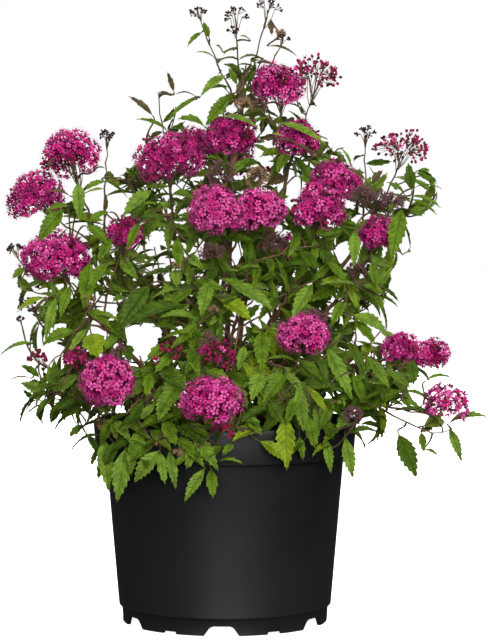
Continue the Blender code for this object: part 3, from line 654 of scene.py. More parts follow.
def grow_shoots(crown, mass, rng):
    """The shoots of a mass: the first carries on from the stem, the others leave the first."""
    fork = Vector(mass.fork) * MM
    stem = stem_line(f"stem_{mass.name}", fork)
    crown.stems.append(stem)
    _, heading = along_line(stem, 1.0)
    tips = [(shoot, Vector(shoot[:3]) * MM) for shoot in mass.shoots]
    tips += [(Shoot(0, 0, 0), tip) for tip in fill_tips(mass, heading, rng)]
    grown = []
    for index, (shoot, tip) in enumerate(tips):
        start, way, base_radius = fork, heading, STEM_TIP_RADIUS
        if grown:
            start, way = along_line(grown[0][1], BRANCH_STEP * (1 + index % BRANCH_PLACES))
            base_radius = SHOOT_RADIUS
        line = shoot_line(start, way, tip)
        for spot in line[1:-1]:
            spot += any_way(rng) * SHOOT_WAVER
        taper = [(1.0 - share) ** SHOOT_TAPER for share in even(0.0, 1.0, SHOOT_STATIONS)]
        radii = [SHOOT_TIP_RADIUS + (base_radius - SHOOT_TIP_RADIUS) * share for share in taper]
        kind = "old" if tip.z < OLD_WOOD_TOP else "young"
        crown.twigs.append(Twig(line, radii, kind, "leaves" if shoot.kind == "leafy" else "head"))
        grown.append((shoot, line))
        end, arriving = along_line(line, 1.0)
        if shoot.kind != "leafy" and not fills_gap(end):
            facing = (outward(end) * 0.35 + UP * 0.55 + arriving * 0.5).normalized()
            crown.heads.append(make_head(shoot, end, facing, line, rng))
    return grown


SIDE_TWIG_SPACING = 0.030
SIDE_TWIG_REACH = (0.026, 0.046)
SIDE_TWIG_RADIUS = 0.0009
SIDE_TWIG_TIP_RADIUS = 0.0005
SIDE_TWIG_STATIONS = 6
SHOOT_TWIG_SHARES = (0.22, 0.78)
STEM_TWIG_SHARES = (0.40, 0.98)


def side_twigs(crown, line, first, last, rng):
    """Finer twigs between two shares of a shoot or stem, each turned by the golden angle from the last."""
    length = line_length(line)
    count = max(1, round(length * (last - first) / SIDE_TWIG_SPACING))
    turn = rng.uniform(0, math.tau)
    grown = []
    for index in range(count):
        share = first + (last - first) * (index + rng.uniform(0.2, 0.8)) / count
        start, heading = along_line(line, share)
        out = sideways(heading, turn + index * GOLDEN_ANGLE)
        way = (heading * 0.6 + out + outward(start) * 0.35 + UP * 0.15).normalized()
        reach = rng.uniform(*SIDE_TWIG_REACH) * blend(1.0, 0.6, share)
        tip = start + way * reach + UP * reach * 0.25
        bends = (start + out * reach * 0.3, start + way * reach * 0.75)
        twig = bezier(start, *bends, tip, SIDE_TWIG_STATIONS)
        places = np.array(twig[1:])
        if not clear_of_pot(twig) or crown.sight.before_head(places) or crown.sight.off_crown(places):
            continue
        radii = even(SIDE_TWIG_RADIUS, SIDE_TWIG_TIP_RADIUS, SIDE_TWIG_STATIONS)
        crown.twigs.append(Twig(twig, radii, "young", "leaves"))
        grown.append(twig)
    return grown


POT_SPACE = 0.0035


def clear_of_pot(places):
    """True where no place is in the pot's wall, in the potting mix or under the rim's reach."""
    for place in places:
        radius = math.hypot(place.x, place.y)
        above_mix = place.z > SOIL_TOP + POT_SPACE and radius < RIM_RADIUS - WALL - POT_SPACE
        if place.z < RIM_TOP + POT_SPACE and radius < RIM_RADIUS + POT_SPACE and not above_mix:
            return False
    return True


def midrib_place(leaf, share):
    """The place on a leaf's midrib at a share of its length."""
    angle = leaf.curl * share
    forward = math.sin(angle) / leaf.curl
    drop = (1.0 - math.cos(angle)) / leaf.curl
    return leaf.root + (leaf.along * forward - leaf.face * drop) * leaf.length


def leaf_places(leaf):
    """A few places on a leaf: its midrib and both halves."""
    side = leaf.along.cross(leaf.face)
    places = []
    for share, width in ((0.25, 0.7), (0.5, 0.85), (0.75, 0.5), (1.0, 0.0)):
        middle = midrib_place(leaf, share)
        places.append(middle)
        if width:
            places += [middle + side * leaf.width * width / 2, middle - side * leaf.width * width / 2]
    return places


def leaf_size(height, share, settings, rng):
    """A leaf's length: shorter near the top of the crown and near the end of its twig."""
    by_height = float(np.interp(height, (0.20, 0.36, 0.46, 0.53, 0.60), (1.0, 0.92, 0.76, 0.56, 0.34)))
    return settings.length * by_height * blend(1.0, 0.62, share) * rng.uniform(0.78, 1.08)


LEAF_RETRIES = (0.0, 0.8, -0.8, 1.6, -1.6, 2.6)
# Leaf greens: the lighter and the darker are copies of the leaf green with painted light and painted shade
TONES = ("deep", "mid", "lit", "fresh", "bronze")
SHADED_INNER_TONES = {"deep": 0.30, "mid": 0.44, "lit": 0.20, "fresh": 0.06}
LIT_OUTER_TONES = {"deep": 0.10, "mid": 0.38, "lit": 0.42, "fresh": 0.10}
OUTER_REACH = 0.11
BRONZE_HEIGHT = 0.52
BRONZE_SHARE = 0.4


def spray_tone(tip, rng):
    """One colour for all the leaves of a spray: bronze near the top; round the outside of the crown more
    often the lighter green, as painted light, and inside more often the darker green, as painted shade.
    """
    if tip.z > BRONZE_HEIGHT and rng.random() < BRONZE_SHARE:
        return "bronze"
    shares = LIT_OUTER_TONES if math.hypot(tip.x, tip.y) > OUTER_REACH else SHADED_INNER_TONES
    return rng.choices(list(shares), list(shares.values()))[0]


def grown_leaf(place, heading, angle, spread, size, tone, settings, rng):
    """A leaf at a node of a twig, by the source's rule: out, away from the crown's middle, and drooping."""
    height = (place.z - CROWN_FOOT) / (CROWN_TOP - CROWN_FOOT)
    droop = blend(0.85, 0.10, height) + rng.uniform(-0.25, 0.2)
    away = outward(place)
    side = sideways(heading, angle)
    along = (heading * (1.2 - spread) + side * spread + away * 0.45 - UP * droop * spread).normalized()
    stray = any_way(rng)
    light = FRONT * 0.5 if place.y < BURIED else Vector()
    face = squared(UP * 0.55 + away * 0.65 + light + stray * 0.65, along)
    return Leaf(
        place, along, face, size, size * settings.width_share * rng.uniform(0.85, 1.15),
        blend(1.0, 0.55, height) * rng.uniform(0.5, 1.3), math.radians(rng.uniform(12, 30)),
        rng.uniform(-0.5, 0.5), tone,
    )


HEAD_SPACE = 0.85


def in_head(leaf, places, heads):
    """True where a leaf, with its places, would run into a flower head."""
    for head in heads:
        reach = max(head.width, head.height) / 2 * HEAD_SPACE
        if (leaf.root - head.centre).length < reach + leaf.length:
            if any((place - head.centre).length < reach for place in places):
                return True
    return False


def finds_room(crown, leaf):
    """True where a leaf clears the pot and the heads, and hides nothing that the photograph shows."""
    places = leaf_places(leaf)
    if not clear_of_pot(places) or in_head(leaf, places, crown.heads):
        return False
    spots = np.array(places)
    sight = crown.sight
    return not (sight.off_crown(spots) or sight.before_head(spots) or sight.before_leaf(spots))


TUFT_LEAVES = 3
# The share of a side twig and of a shoot, from its foot, that has no leaves
TWIG_BARE = 0.25
SHOOT_BARE = 0.15


def grow_leaves(crown, line, bare, tuft, settings, rng):
    """Leaves in a spiral along a twig, and a tuft at its tip, each left out where it finds no room."""
    length = line_length(line)
    count = max(2, round(length * (1.0 - bare) / settings.spacing))
    turn = rng.uniform(0, math.tau)
    tone = spray_tone(line[-1], rng)
    for index in range(count + (TUFT_LEAVES if tuft else 0)):
        share = min(bare + (1.0 - bare) * (index + 0.7) / count, 0.985)
        spread = 0.85 if index < count else 0.5
        place, heading = along_line(line, share)
        size = leaf_size(place.z, share, settings, rng) * (1.0 if index < count else 0.6)
        for retry in LEAF_RETRIES:
            angle = turn + index * GOLDEN_ANGLE + retry
            leaf = grown_leaf(place, heading, angle, spread, size, tone, settings, rng)
            if finds_room(crown, leaf):
                crown.leaves.append(leaf)
                break


STALK_RADIUS = 0.0007
STALK_FOOT_RADIUS = STALK_RADIUS * 1.4
STALK_STATIONS = 7


def add_stem_to(crown, end, arriving):
    """A fine twig from the nearest wood to a leaf or a head that stands off it."""
    spot, heading = crown.nearest_wood(end)
    reach = (end - spot).length
    bend = spot + (heading * 0.5 + (end - spot).normalized()) * reach * 0.45
    line = bezier(spot, bend, end - arriving * reach * 0.3, end, STALK_STATIONS)
    crown.twigs.append(Twig(line, even(STALK_FOOT_RADIUS, STALK_RADIUS, STALK_STATIONS), "young", "head"))
    return line


def on_crown(col, row, guessed_depth, behind=0.0):
    """The place on the crown's front surface, or behind it, that shows at a pixel of the photograph."""
    guess = place_shown(col, row, guessed_depth)
    return place_shown(col, row, front_depth(guess.x, guess.z) + behind)


def shown_head(crown, shown, rng):
    """A small head placed by where it shows."""
    centre = on_crown(shown.col, shown.row, GUESSED_DEPTH)
    facing = (outward(centre) * 0.35 + UP * 0.8).normalized()
    line = add_stem_to(crown, centre, facing)
    crown.heads.append(make_head(shown, centre, facing, line, rng))


NEAR_LEAF = 0.006


def trim_bare_ends(crown):
    """Cuts each leafy twig back to its last leaf, so that no end stands bare."""
    roots = [leaf.root for leaf in crown.leaves] + [twig.line[0] for twig in crown.twigs]
    anchors = np.array(roots)
    kept = []
    for twig in crown.twigs:
        last = len(twig.line) - 1
        if twig.ends == "leaves":
            while last > 1 and np.linalg.norm(anchors - np.array(twig.line[last]), axis=1).min() > NEAR_LEAF:
                last -= 1
        kept.append(twig._replace(line=twig.line[:last + 1], radii=twig.radii[:last + 1]))
    crown.twigs = kept


def shown_leaf(crown, shown, rng):
    """A leaf placed by where it shows, on a fine twig from the nearest wood."""
    root = on_crown(shown.root_col, shown.root_row, GUESSED_DEPTH, ROOT_BEHIND)
    tip = on_crown(shown.tip_col, shown.tip_row, root.y, TIP_BEHIND)
    chord = tip - root
    towards = chord.normalized()
    level = 1.0 - abs(towards.z)
    curl = 0.35 + 0.75 * level
    face = squared(FRONT * (0.9 - 0.55 * level) + UP * (0.35 + 0.75 * level), towards)
    side = towards.cross(face)
    along = Quaternion(side, curl / 2) @ towards
    face = Quaternion(side, curl / 2) @ face
    length = chord.length * (curl / 2) / math.sin(curl / 2)
    width = shown.width * MM * 1.05
    crown.sight.leaf_depths.append(root.y)
    add_stem_to(crown, root, along)
    crown.leaves.append(Leaf(
        root, along, face, length, width, curl, math.radians(rng.uniform(14, 26)), rng.uniform(-0.3, 0.3),
        shown.tone,
    ))


LeafSizes = namedtuple("LeafSizes", "length width_share spacing")


@functools.cache
def plan_crown(settings):
    """The whole crown, worked out once for the leaf sizes in use."""
    rng = random.Random(SEED)
    crown = Crown()
    grown = [pair for mass in ALL_MASSES for pair in grow_shoots(crown, mass, rng)]
    crown.know_wood()
    for shown in SHOWN_HEADS:
        shown_head(crown, shown, rng)
    crown.sight = Sight(crown.heads)
    twigs = []
    for _, line in grown:
        twigs += side_twigs(crown, line, *SHOOT_TWIG_SHARES, rng)
    for stem in crown.stems:
        twigs += side_twigs(crown, stem, *STEM_TWIG_SHARES, rng)
    crown.know_wood()
    for shown in SHOWN_LEAVES:
        shown_leaf(crown, shown, rng)
    for line in twigs:
        grow_leaves(crown, line, TWIG_BARE, True, settings, rng)
    for shoot, line in grown:
        grow_leaves(crown, line, SHOOT_BARE, shoot.kind == "leafy", settings, rng)
    trim_bare_ends(crown)
    return crown


def crown_of(context):
    leaf = context.scene.shrub_leaf
    return plan_crown(LeafSizes(leaf.length, leaf.width_share, leaf.spacing))


class Patch:
    """Corners and faces gathered for one piece, each face with the number of its finish."""

    def __init__(self):
        self.corners = []
        self.faces = []
        self.finishes = []
        self.blade_places = []
        self.count = 0

    def add(self, corners, faces, finishes, blade_places=None):
        """Corners as an (n, 3) array, faces as lists of numbers into it, and a finish for all or for each.

        blade_places, for a leaf, has how far each corner is from the midrib and along it.
        """
        self.corners.append(np.asarray(corners, dtype=np.float32))
        if blade_places is not None:
            self.blade_places.append(blade_places)
        for face in faces:
            self.faces.append([self.count + corner for corner in face])
        if isinstance(finishes, int):
            finishes = [finishes] * len(faces)
        self.finishes += finishes
        self.count += len(corners)

    def triangles(self):
        return sum(len(face) - 2 for face in self.faces)


CREASE = math.radians(32)
BLADE_MAP = "blade"


def make_piece(name, patch, finishes, nodes, smooth=True):
    """The piece made of a patch, riding on the body in place of the frame's nodes."""
    mesh = bpy.data.meshes.new(name)
    mesh.from_pydata(np.concatenate(patch.corners), [], patch.faces)
    for finish in finishes:
        mesh.materials.append(finish)
    mesh.polygons.foreach_set("material_index", patch.finishes)
    mesh.polygons.foreach_set("use_smooth", [smooth] * len(mesh.polygons))
    if patch.blade_places:
        numbers = np.empty(len(mesh.loops), dtype=np.int32)
        mesh.loops.foreach_get("vertex_index", numbers)
        places = np.concatenate(patch.blade_places)[numbers]
        mesh.uv_layers.new(name=BLADE_MAP).data.foreach_set("uv", places.ravel())
    mesh.update()
    if smooth:
        mesh.set_sharp_from_angle(angle=CREASE)
    piece = bpy.data.objects.new(name, mesh)
    bpy.context.scene.collection.objects.link(piece)
    place_piece(piece, nodes)


def place_piece(piece, nodes):
    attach(piece, "root")
    if nodes:
        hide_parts(*nodes)


def turned_frames(points):
    """A pair of axes square to a line at each of its points, turned as little as possible."""
    last = len(points) - 1
    turn = Quaternion()
    heading = UP
    frames = []
    for index in range(len(points)):
        ahead = (points[min(index + 1, last)] - points[max(index - 1, 0)]).normalized()
        turn = heading.rotation_difference(ahead) @ turn
        heading = ahead
        frames.append((turn @ Vector((1.0, 0.0, 0.0)), turn @ Vector((0.0, 1.0, 0.0))))
    return frames


def add_tube(patch, points, radii, sides, finish, relief=None):
    """A closed tube along a line. relief, if given, is a function of place that adds to the radius."""
    corners = []
    for point, radius, (across, over) in zip(points, radii, turned_frames(points)):
        for side in range(sides):
            angle = math.tau * side / sides
            out = across * math.cos(angle) + over * math.sin(angle)
            reach = radius + (relief(point + out * radius, out) if relief else 0.0)
            corners.append(point + out * reach)
    faces = [list(range(sides))[::-1]]
    for ring in range(len(points) - 1):
        base = ring * sides
        for side in range(sides):
            after = (side + 1) % sides
            faces.append([base + side, base + after, base + sides + after, base + sides + side])
    faces.append(list(range(len(corners) - sides, len(corners))))
    patch.add(corners, faces, finish)


MOTTLE_STOPS = (0.35, 0.65)
BARK_STRETCH = (1.0, 1.0, 0.16)


def new_material(name, roughness, specular=0.5):
    """A material, its node tree and its shader."""
    made = bpy.data.materials.new(name)
    made.use_nodes = True
    tree = made.node_tree
    shader = tree.nodes["Principled BSDF"]
    shader.inputs["Roughness"].default_value = roughness
    shader.inputs["Specular IOR Level"].default_value = specular
    return made, tree, shader


def add_noise(tree, mapping, scale, detail=2.0):
    """A noise texture over a mapping."""
    texture = tree.nodes.new("ShaderNodeTexNoise")
    texture.inputs["Scale"].default_value = scale
    texture.inputs["Detail"].default_value = detail
    tree.links.new(mapping.outputs["Vector"], texture.inputs["Vector"])
    return texture


def mottled(tree, shader, first, second, scale, stretch=(1.0, 1.0, 1.0), detail=4.0):
    """Base colour that wanders between two colours, in patches of a size."""
    place = tree.nodes.new("ShaderNodeTexCoord")
    mapping = tree.nodes.new("ShaderNodeMapping")
    mapping.inputs["Scale"].default_value = stretch
    tree.links.new(place.outputs["Object"], mapping.inputs["Vector"])
    patches = add_noise(tree, mapping, scale, detail)
    ramp = tree.nodes.new("ShaderNodeValToRGB")
    for stop, position, colour in zip(ramp.color_ramp.elements, MOTTLE_STOPS, (first, second)):
        stop.position = position
        stop.color = (*colour, 1.0)
    tree.links.new(patches.outputs["Fac"], ramp.inputs["Fac"])
    tree.links.new(ramp.outputs["Color"], shader.inputs["Base Color"])
    return mapping, patches


def grained(tree, shader, source, socket, strength, distance):
    """Bump from the output of a texture node."""
    bump = tree.nodes.new("ShaderNodeBump")
    bump.inputs["Strength"].default_value = strength
    bump.inputs["Distance"].default_value = distance
    tree.links.new(source.outputs[socket], bump.inputs["Height"])
    tree.links.new(bump.outputs["Normal"], shader.inputs["Normal"])


def uneven_gloss(tree, shader, source, low, high):
    """Roughness that follows a texture between two values."""
    spread = tree.nodes.new("ShaderNodeMapRange")
    spread.inputs["To Min"].default_value = low
    spread.inputs["To Max"].default_value = high
    tree.links.new(source.outputs["Fac"], spread.inputs["Value"])
    tree.links.new(spread.outputs["Result"], shader.inputs["Roughness"])


def scaled(colour, factor):
    return tuple(min(channel * factor, 1.0) for channel in colour)


VEINS = 9.0
VEIN_SLANT = 0.17
VEIN_WIDTH = 0.20
RIB_WIDTH = 0.10
# Painted shade in the sunk veins: the share of the base colour left along them
VEIN_PAINTED_SHADE = 0.76


def calculated(tree, operation, first, second):
    """A math node between an output or number and another."""
    node = tree.nodes.new("ShaderNodeMath")
    node.operation = operation
    for socket, value in zip(node.inputs, (first, second)):
        if isinstance(value, float):
            socket.default_value = value
        else:
            tree.links.new(value, socket)
    return node.outputs["Value"]


def sunk_veins_painted_shade(tree, shader):
    """Paints shade along the sunk midrib and side veins by darkening the base colour there, and sinks them.
    """
    blade = tree.nodes.new("ShaderNodeUVMap")
    blade.uv_map = BLADE_MAP
    parts = tree.nodes.new("ShaderNodeSeparateXYZ")
    tree.links.new(blade.outputs["UV"], parts.inputs["Vector"])
    across, along = parts.outputs["X"], parts.outputs["Y"]
    slanted = calculated(tree, "SUBTRACT", along, calculated(tree, "MULTIPLY", across, VEIN_SLANT))
    from_vein = calculated(tree, "PINGPONG", calculated(tree, "MULTIPLY", slanted, VEINS), 0.5)
    side = calculated(tree, "DIVIDE", from_vein, VEIN_WIDTH)
    rib = calculated(tree, "DIVIDE", across, RIB_WIDTH)
    height = calculated(tree, "MINIMUM", calculated(tree, "MINIMUM", side, rib), 1.0)
    shade = tree.nodes.new("ShaderNodeMapRange")
    shade.inputs["To Min"].default_value = VEIN_PAINTED_SHADE
    tree.links.new(height, shade.inputs["Value"])
    darker = tree.nodes.new("ShaderNodeVectorMath")
    darker.operation = "SCALE"
    colour = shader.inputs["Base Color"]
    tree.links.new(colour.links[0].from_socket, darker.inputs[0])
    tree.links.new(shade.outputs["Result"], darker.inputs["Scale"])
    tree.links.new(darker.outputs["Vector"], colour)
    relief = tree.nodes.new("ShaderNodeBump")
    relief.inputs["Strength"].default_value = 0.6
    relief.inputs["Distance"].default_value = 0.0006
    tree.links.new(height, relief.inputs["Height"])
    tree.links.new(shader.inputs["Normal"].links[0].from_socket, relief.inputs["Normal"])
    tree.links.new(relief.outputs["Normal"], shader.inputs["Normal"])


def leaf_finish(name, colour, roughness=0.48):
    """A leaf's green, mottled, with sunk veins darkened by painted shade and a fine net between them in
    relief.
    """
    made, tree, shader = new_material(name, roughness, 0.10)
    mapping, patches = mottled(tree, shader, scaled(colour, 0.68), scaled(colour, 1.22), 130.0)
    uneven_gloss(tree, shader, patches, roughness - 0.08, roughness + 0.14)
    veins = tree.nodes.new("ShaderNodeTexVoronoi")
    veins.feature = "DISTANCE_TO_EDGE"
    veins.inputs["Scale"].default_value = 420.0
    tree.links.new(mapping.outputs["Vector"], veins.inputs["Vector"])
    grained(tree, shader, veins, "Distance", 0.35, 0.0004)
    sunk_veins_painted_shade(tree, shader)
    return made


def petal_finish(name, colour, roughness=0.55):
    """A petal's pink, a little uneven, with fine ribs in relief."""
    made, tree, shader = new_material(name, roughness, 0.1)
    mapping, _ = mottled(tree, shader, scaled(colour, 0.8), scaled(colour, 1.15), 260.0)
    grained(tree, shader, add_noise(tree, mapping, 1500.0), "Fac", 0.2, 0.0002)
    return made


def wood_finish(name, colour, dark, light, roughness=0.7):
    """Bark in streaks up the wood, finely furrowed, between a dark and a light share of its colour."""
    made, tree, shader = new_material(name, roughness, 0.3)
    _, streaks = mottled(tree, shader, scaled(colour, dark), scaled(colour, light), 240.0, BARK_STRETCH, 6.0)
    uneven_gloss(tree, shader, streaks, roughness - 0.1, roughness + 0.15)
    grained(tree, shader, streaks, "Fac", 0.6, 0.0006)
    return made


def plastic_finish(name, colour, roughness, grain):
    """Moulded black plastic: satin, with a fine grain and faint cloudy scuffs."""
    made, tree, shader = new_material(name, roughness, 0.5)
    mapping, clouds = mottled(tree, shader, scaled(colour, 0.85), scaled(colour, 1.25), 9.0)
    uneven_gloss(tree, shader, clouds, roughness - 0.04, roughness + 0.10)
    grained(tree, shader, add_noise(tree, mapping, 1400.0, 3.0), "Fac", 0.25, grain)
    return made


def crumb_finish(name, colour, dark, light):
    """Moist bark and peat: rough, and uneven between a dark and a light share of its colour."""
    made, tree, shader = new_material(name, 0.92, 0.25)
    _, lumps = mottled(tree, shader, scaled(colour, dark), scaled(colour, light), 320.0, detail=8.0)
    grained(tree, shader, lumps, "Fac", 0.9, 0.0015)
    return made


def colour_setting(name, description, *default):
    return FloatVectorProperty(
        name=name, description=description, subtype="COLOR", default=default, min=0.0, max=1.0,
    )


def length_setting(name, description, default):
    return FloatProperty(name=name, description=description, default=default, precision=5, unit="LENGTH")


def power_setting(name, description, default):
    return FloatProperty(name=name, description=description, default=default, unit="POWER")


class PotSettings(bpy.types.PropertyGroup):
    """The nursery pot."""

    steps: IntProperty(
        name="Steps Round", description="Faces round the pot's wall", default=144, min=24, max=360,
    )
    colour: colour_setting("Plastic", "Colour of the plastic", 0.008, 0.008, 0.009)
    roughness: FloatProperty(
        name="Roughness", description="How matt the plastic is", default=0.44, min=0.0, max=1.0,
        subtype="FACTOR",
    )
    grain: length_setting("Grain Depth", "Depth of the moulded grain", 0.00025)
    edge: length_setting("Edge Radius", "Rounding of the foot's cut edges", 0.0009)


class MixSettings(bpy.types.PropertyGroup):
    """The potting mix."""

    crumbs: IntProperty(
        name="Crumbs", description="Pieces of bark that lie on the mix", default=620, min=0, max=3000,
    )
    crumb: length_setting("Crumb Length", "Length of a large piece of bark", 0.011)
    peat: colour_setting("Peat", "Colour of the moist peat", 0.020, 0.012, 0.008)
    bark: colour_setting("Bark Pieces", "Colour of the bark pieces", 0.085, 0.042, 0.022)


class WoodSettings(bpy.types.PropertyGroup):
    """The stems and twigs."""

    old_bark: colour_setting("Old Bark", "Colour of the stems and older shoots", 0.20, 0.105, 0.05)
    young_bark: colour_setting("Young Bark", "Colour of the young twigs", 0.095, 0.068, 0.030)
    furrow: length_setting("Furrow Depth", "Depth of the furrows in the stems", 0.0005)


class LeafSettings(bpy.types.PropertyGroup):
    """The leaves."""

    length: length_setting("Length", "Length of a large leaf, low in the crown", 0.058)
    width_share: FloatProperty(
        name="Width Share", description="Width of a leaf as a share of its length", default=0.33, min=0.1,
        max=1.0, subtype="FACTOR",
    )
    spacing: length_setting("Spacing", "Distance between leaves along a twig", 0.0088)
    teeth: IntProperty(name="Teeth", description="Teeth along each margin", default=8, min=3, max=16)
    # Painted shade: a darker copy of the leaf green, for leaves in shade
    deep: colour_setting("Deep Green", "Colour of the shaded older leaves", 0.060, 0.112, 0.007)
    mid: colour_setting("Leaf Green", "Colour of most leaves", 0.106, 0.184, 0.011)
    # Painted light: a lighter copy of the leaf green, for leaves in light
    lit: colour_setting("Light Green", "Colour of the lighter leaves", 0.150, 0.250, 0.026)
    fresh: colour_setting("Fresh Green", "Colour of the young yellow-green leaves", 0.20, 0.285, 0.012)
    bronze: colour_setting("Bronze", "Colour of the bronzed young tips", 0.11, 0.085, 0.035)
    underside: colour_setting("Underside", "Colour of the leaves' undersides", 0.15, 0.21, 0.03)


class FlowerSettings(bpy.types.PropertyGroup):
    """The flower heads."""

    floret: length_setting("Flower Width", "Width of one open flower", 0.0088)
    crowding: FloatProperty(
        name="Crowding", description="How closely the flowers of a head stand", default=1.75, min=0.2,
        max=4.0,
    )
    stamens: IntProperty(name="Stamens", description="Stamens of one flower", default=7, min=0, max=24)
    # Partly painted light: the lightest pink is fresh flowers and also a lighter copy of the rose for
    # flowers in light
    light: colour_setting("Light Pink", "Colour of the lightest petals", 0.80, 0.105, 0.40)
    rose: colour_setting("Rose", "Colour of most petals", 0.62, 0.018, 0.225)
    # Partly painted shade: the deepest pink is older flowers and also a darker copy of the rose for flowers
    # in shade
    wine: colour_setting("Wine", "Colour of the deepest petals", 0.30, 0.008, 0.115)
    heart: colour_setting("Heart", "Colour of a flower's middle", 0.13, 0.004, 0.025)
    stamen: colour_setting("Stamen", "Colour of the stamens", 0.52, 0.10, 0.30)


class BudSettings(bpy.types.PropertyGroup):
    """The buds and the seed heads."""

    width: length_setting("Bud Width", "Width of a closed bud", 0.0022)
    dark: colour_setting("Young Bud", "Colour of the closed young buds", 0.045, 0.018, 0.024)
    red: colour_setting("Ripe Bud", "Colour of the buds about to open", 0.30, 0.014, 0.065)
    mauve_husk: colour_setting("Mauve Husk", "Colour of the fading flowers", 0.17, 0.075, 0.085)
    tan_husk: colour_setting("Tan Husk", "Colour of the dry flowers", 0.28, 0.17, 0.09)


class StageSettings(bpy.types.PropertyGroup):
    """The studio."""

    floor: colour_setting("Floor", "Colour of the floor", 0.86, 0.86, 0.86)
    key_light: power_setting("Key Light", "Power of the soft light beside the camera", 80.0)
    fill_light: power_setting("Fill Light", "Power of the wide light at the camera", 54.0)
    back_light: power_setting("Back Light", "Power of the high light behind", 85.0)
    side_light: power_setting("Side Lights", "Power of the high light at each side", 32.0)
    top_light: power_setting("Top Light", "Power of the soft light overhead", 12.0)
    ambient: FloatProperty(
        name="Ambient", description="Strength of the light from all round", default=0.04, min=0.0, max=2.0,
    )


def pot_profile():
    """The pot's shell, from inside the floor up the wall, over the rim, and down and under outside."""
    return (
        (0.0, FLOOR_TOP),
        (FOOT_RADIUS - WALL, FLOOR_TOP),
        (WALL_FOOT_RADIUS - WALL, WALL_FOOT + WALL),
        (WALL_TOP_RADIUS - WALL, RIM_FOOT),
        (RIM_FOOT_RADIUS - WALL, RIM_FOOT + RIM_STEP),
        (RIM_RADIUS - WALL, RIM_TOP - LIP),
        (RIM_RADIUS - WALL + LIP / 3, RIM_TOP - LIP / 4),
        (RIM_RADIUS - WALL / 2, RIM_TOP),
        (RIM_RADIUS - LIP / 4, RIM_TOP - LIP / 4),
        (RIM_RADIUS, RIM_TOP - LIP),
        (RIM_RADIUS - 0.3 * MM, RIM_TOP - 4 * LIP),
        (RIM_FOOT_RADIUS, RIM_FOOT + LIP),
        (RIM_FOOT_RADIUS - LIP / 3, RIM_FOOT + LIP / 4),
        (RIM_FOOT_RADIUS - LIP, RIM_FOOT),
        (WALL_TOP_RADIUS, RIM_FOOT - LIP),
        (WALL_FOOT_RADIUS, WALL_FOOT),
        (WALL_FOOT_RADIUS - LIP, WALL_FOOT - LIP),
        (FOOT_RADIUS, WALL_FOOT - RIM_STEP),
        (FOOT_RADIUS - LIP / 2, LIP / 2),
        (FOOT_RADIUS - LIP, 0.0),
        (FOOT_RADIUS - FOOT_THICKNESS, 0.0),
        (FOOT_RADIUS - FOOT_THICKNESS, FLOOR_UNDERSIDE),
        (PAD_RADIUS, FLOOR_UNDERSIDE),
        (PAD_RADIUS - LIP, 0.0),
        (0.0, 0.0),
    )


def mesh_from(name, bm):
    mesh = bpy.data.meshes.new(name)
    bm.to_mesh(mesh)
    bm.free()
    return mesh


def turned(name, profile, steps):
    """A profile of (radius, height) points turned once about the Z axis, as a mesh."""
    bm = bmesh.new()
    points = [bm.verts.new((radius, 0.0, height)) for radius, height in profile]
    edges = [bm.edges.new(pair) for pair in zip(points, points[1:])]
    bmesh.ops.spin(
        bm, geom=points + edges, cent=(0, 0, 0), axis=(0, 0, 1), angle=math.tau, steps=steps, use_merge=True,
    )
    bmesh.ops.remove_doubles(bm, verts=bm.verts, dist=0.00001)
    bmesh.ops.recalc_face_normals(bm, faces=bm.faces)
    return mesh_from(name, bm)


def cutter_at(name, bm, azimuth, place):
    """A cutter set at a place, and then turned with it about the pot's axis."""
    cutter = bpy.data.objects.new(name, mesh_from(name, bm))
    cutter.matrix_world = Matrix.Rotation(azimuth, 4, "Z") @ Matrix.Translation(place)
    return cutter


def foot_cutter(name, azimuth, top_width, foot_width, height, rounding):
    """A block with rounded corners that cuts one opening in the foot ring."""
    bm = bmesh.new()
    bmesh.ops.create_cube(bm, size=1.0)
    for vert in bm.verts:
        width = top_width if vert.co.z > 0 else foot_width
        vert.co = (vert.co.x * 0.03, vert.co.y * width, height if vert.co.z > 0 else -height)
    along = [edge for edge in bm.edges if abs((edge.verts[0].co - edge.verts[1].co).x) > 0.02]
    top = [edge for edge in along if edge.verts[0].co.z > 0]
    bmesh.ops.bevel(bm, geom=top, offset=rounding, segments=5, affect="EDGES", profile=0.5)
    bmesh.ops.recalc_face_normals(bm, faces=bm.faces)
    return cutter_at(name, bm, azimuth, (FOOT_RADIUS, 0.0, 0.0))


def drain_cutter(name, azimuth):
    """A round bar that cuts one drainage hole in the pot's floor."""
    bm = bmesh.new()
    bmesh.ops.create_cone(
        bm, cap_ends=True, segments=32, radius1=DRAIN_RADIUS, radius2=DRAIN_RADIUS, depth=4 * WALL,
    )
    return cutter_at(name, bm, azimuth, (DRAIN_RING, 0.0, FLOOR_UNDERSIDE))


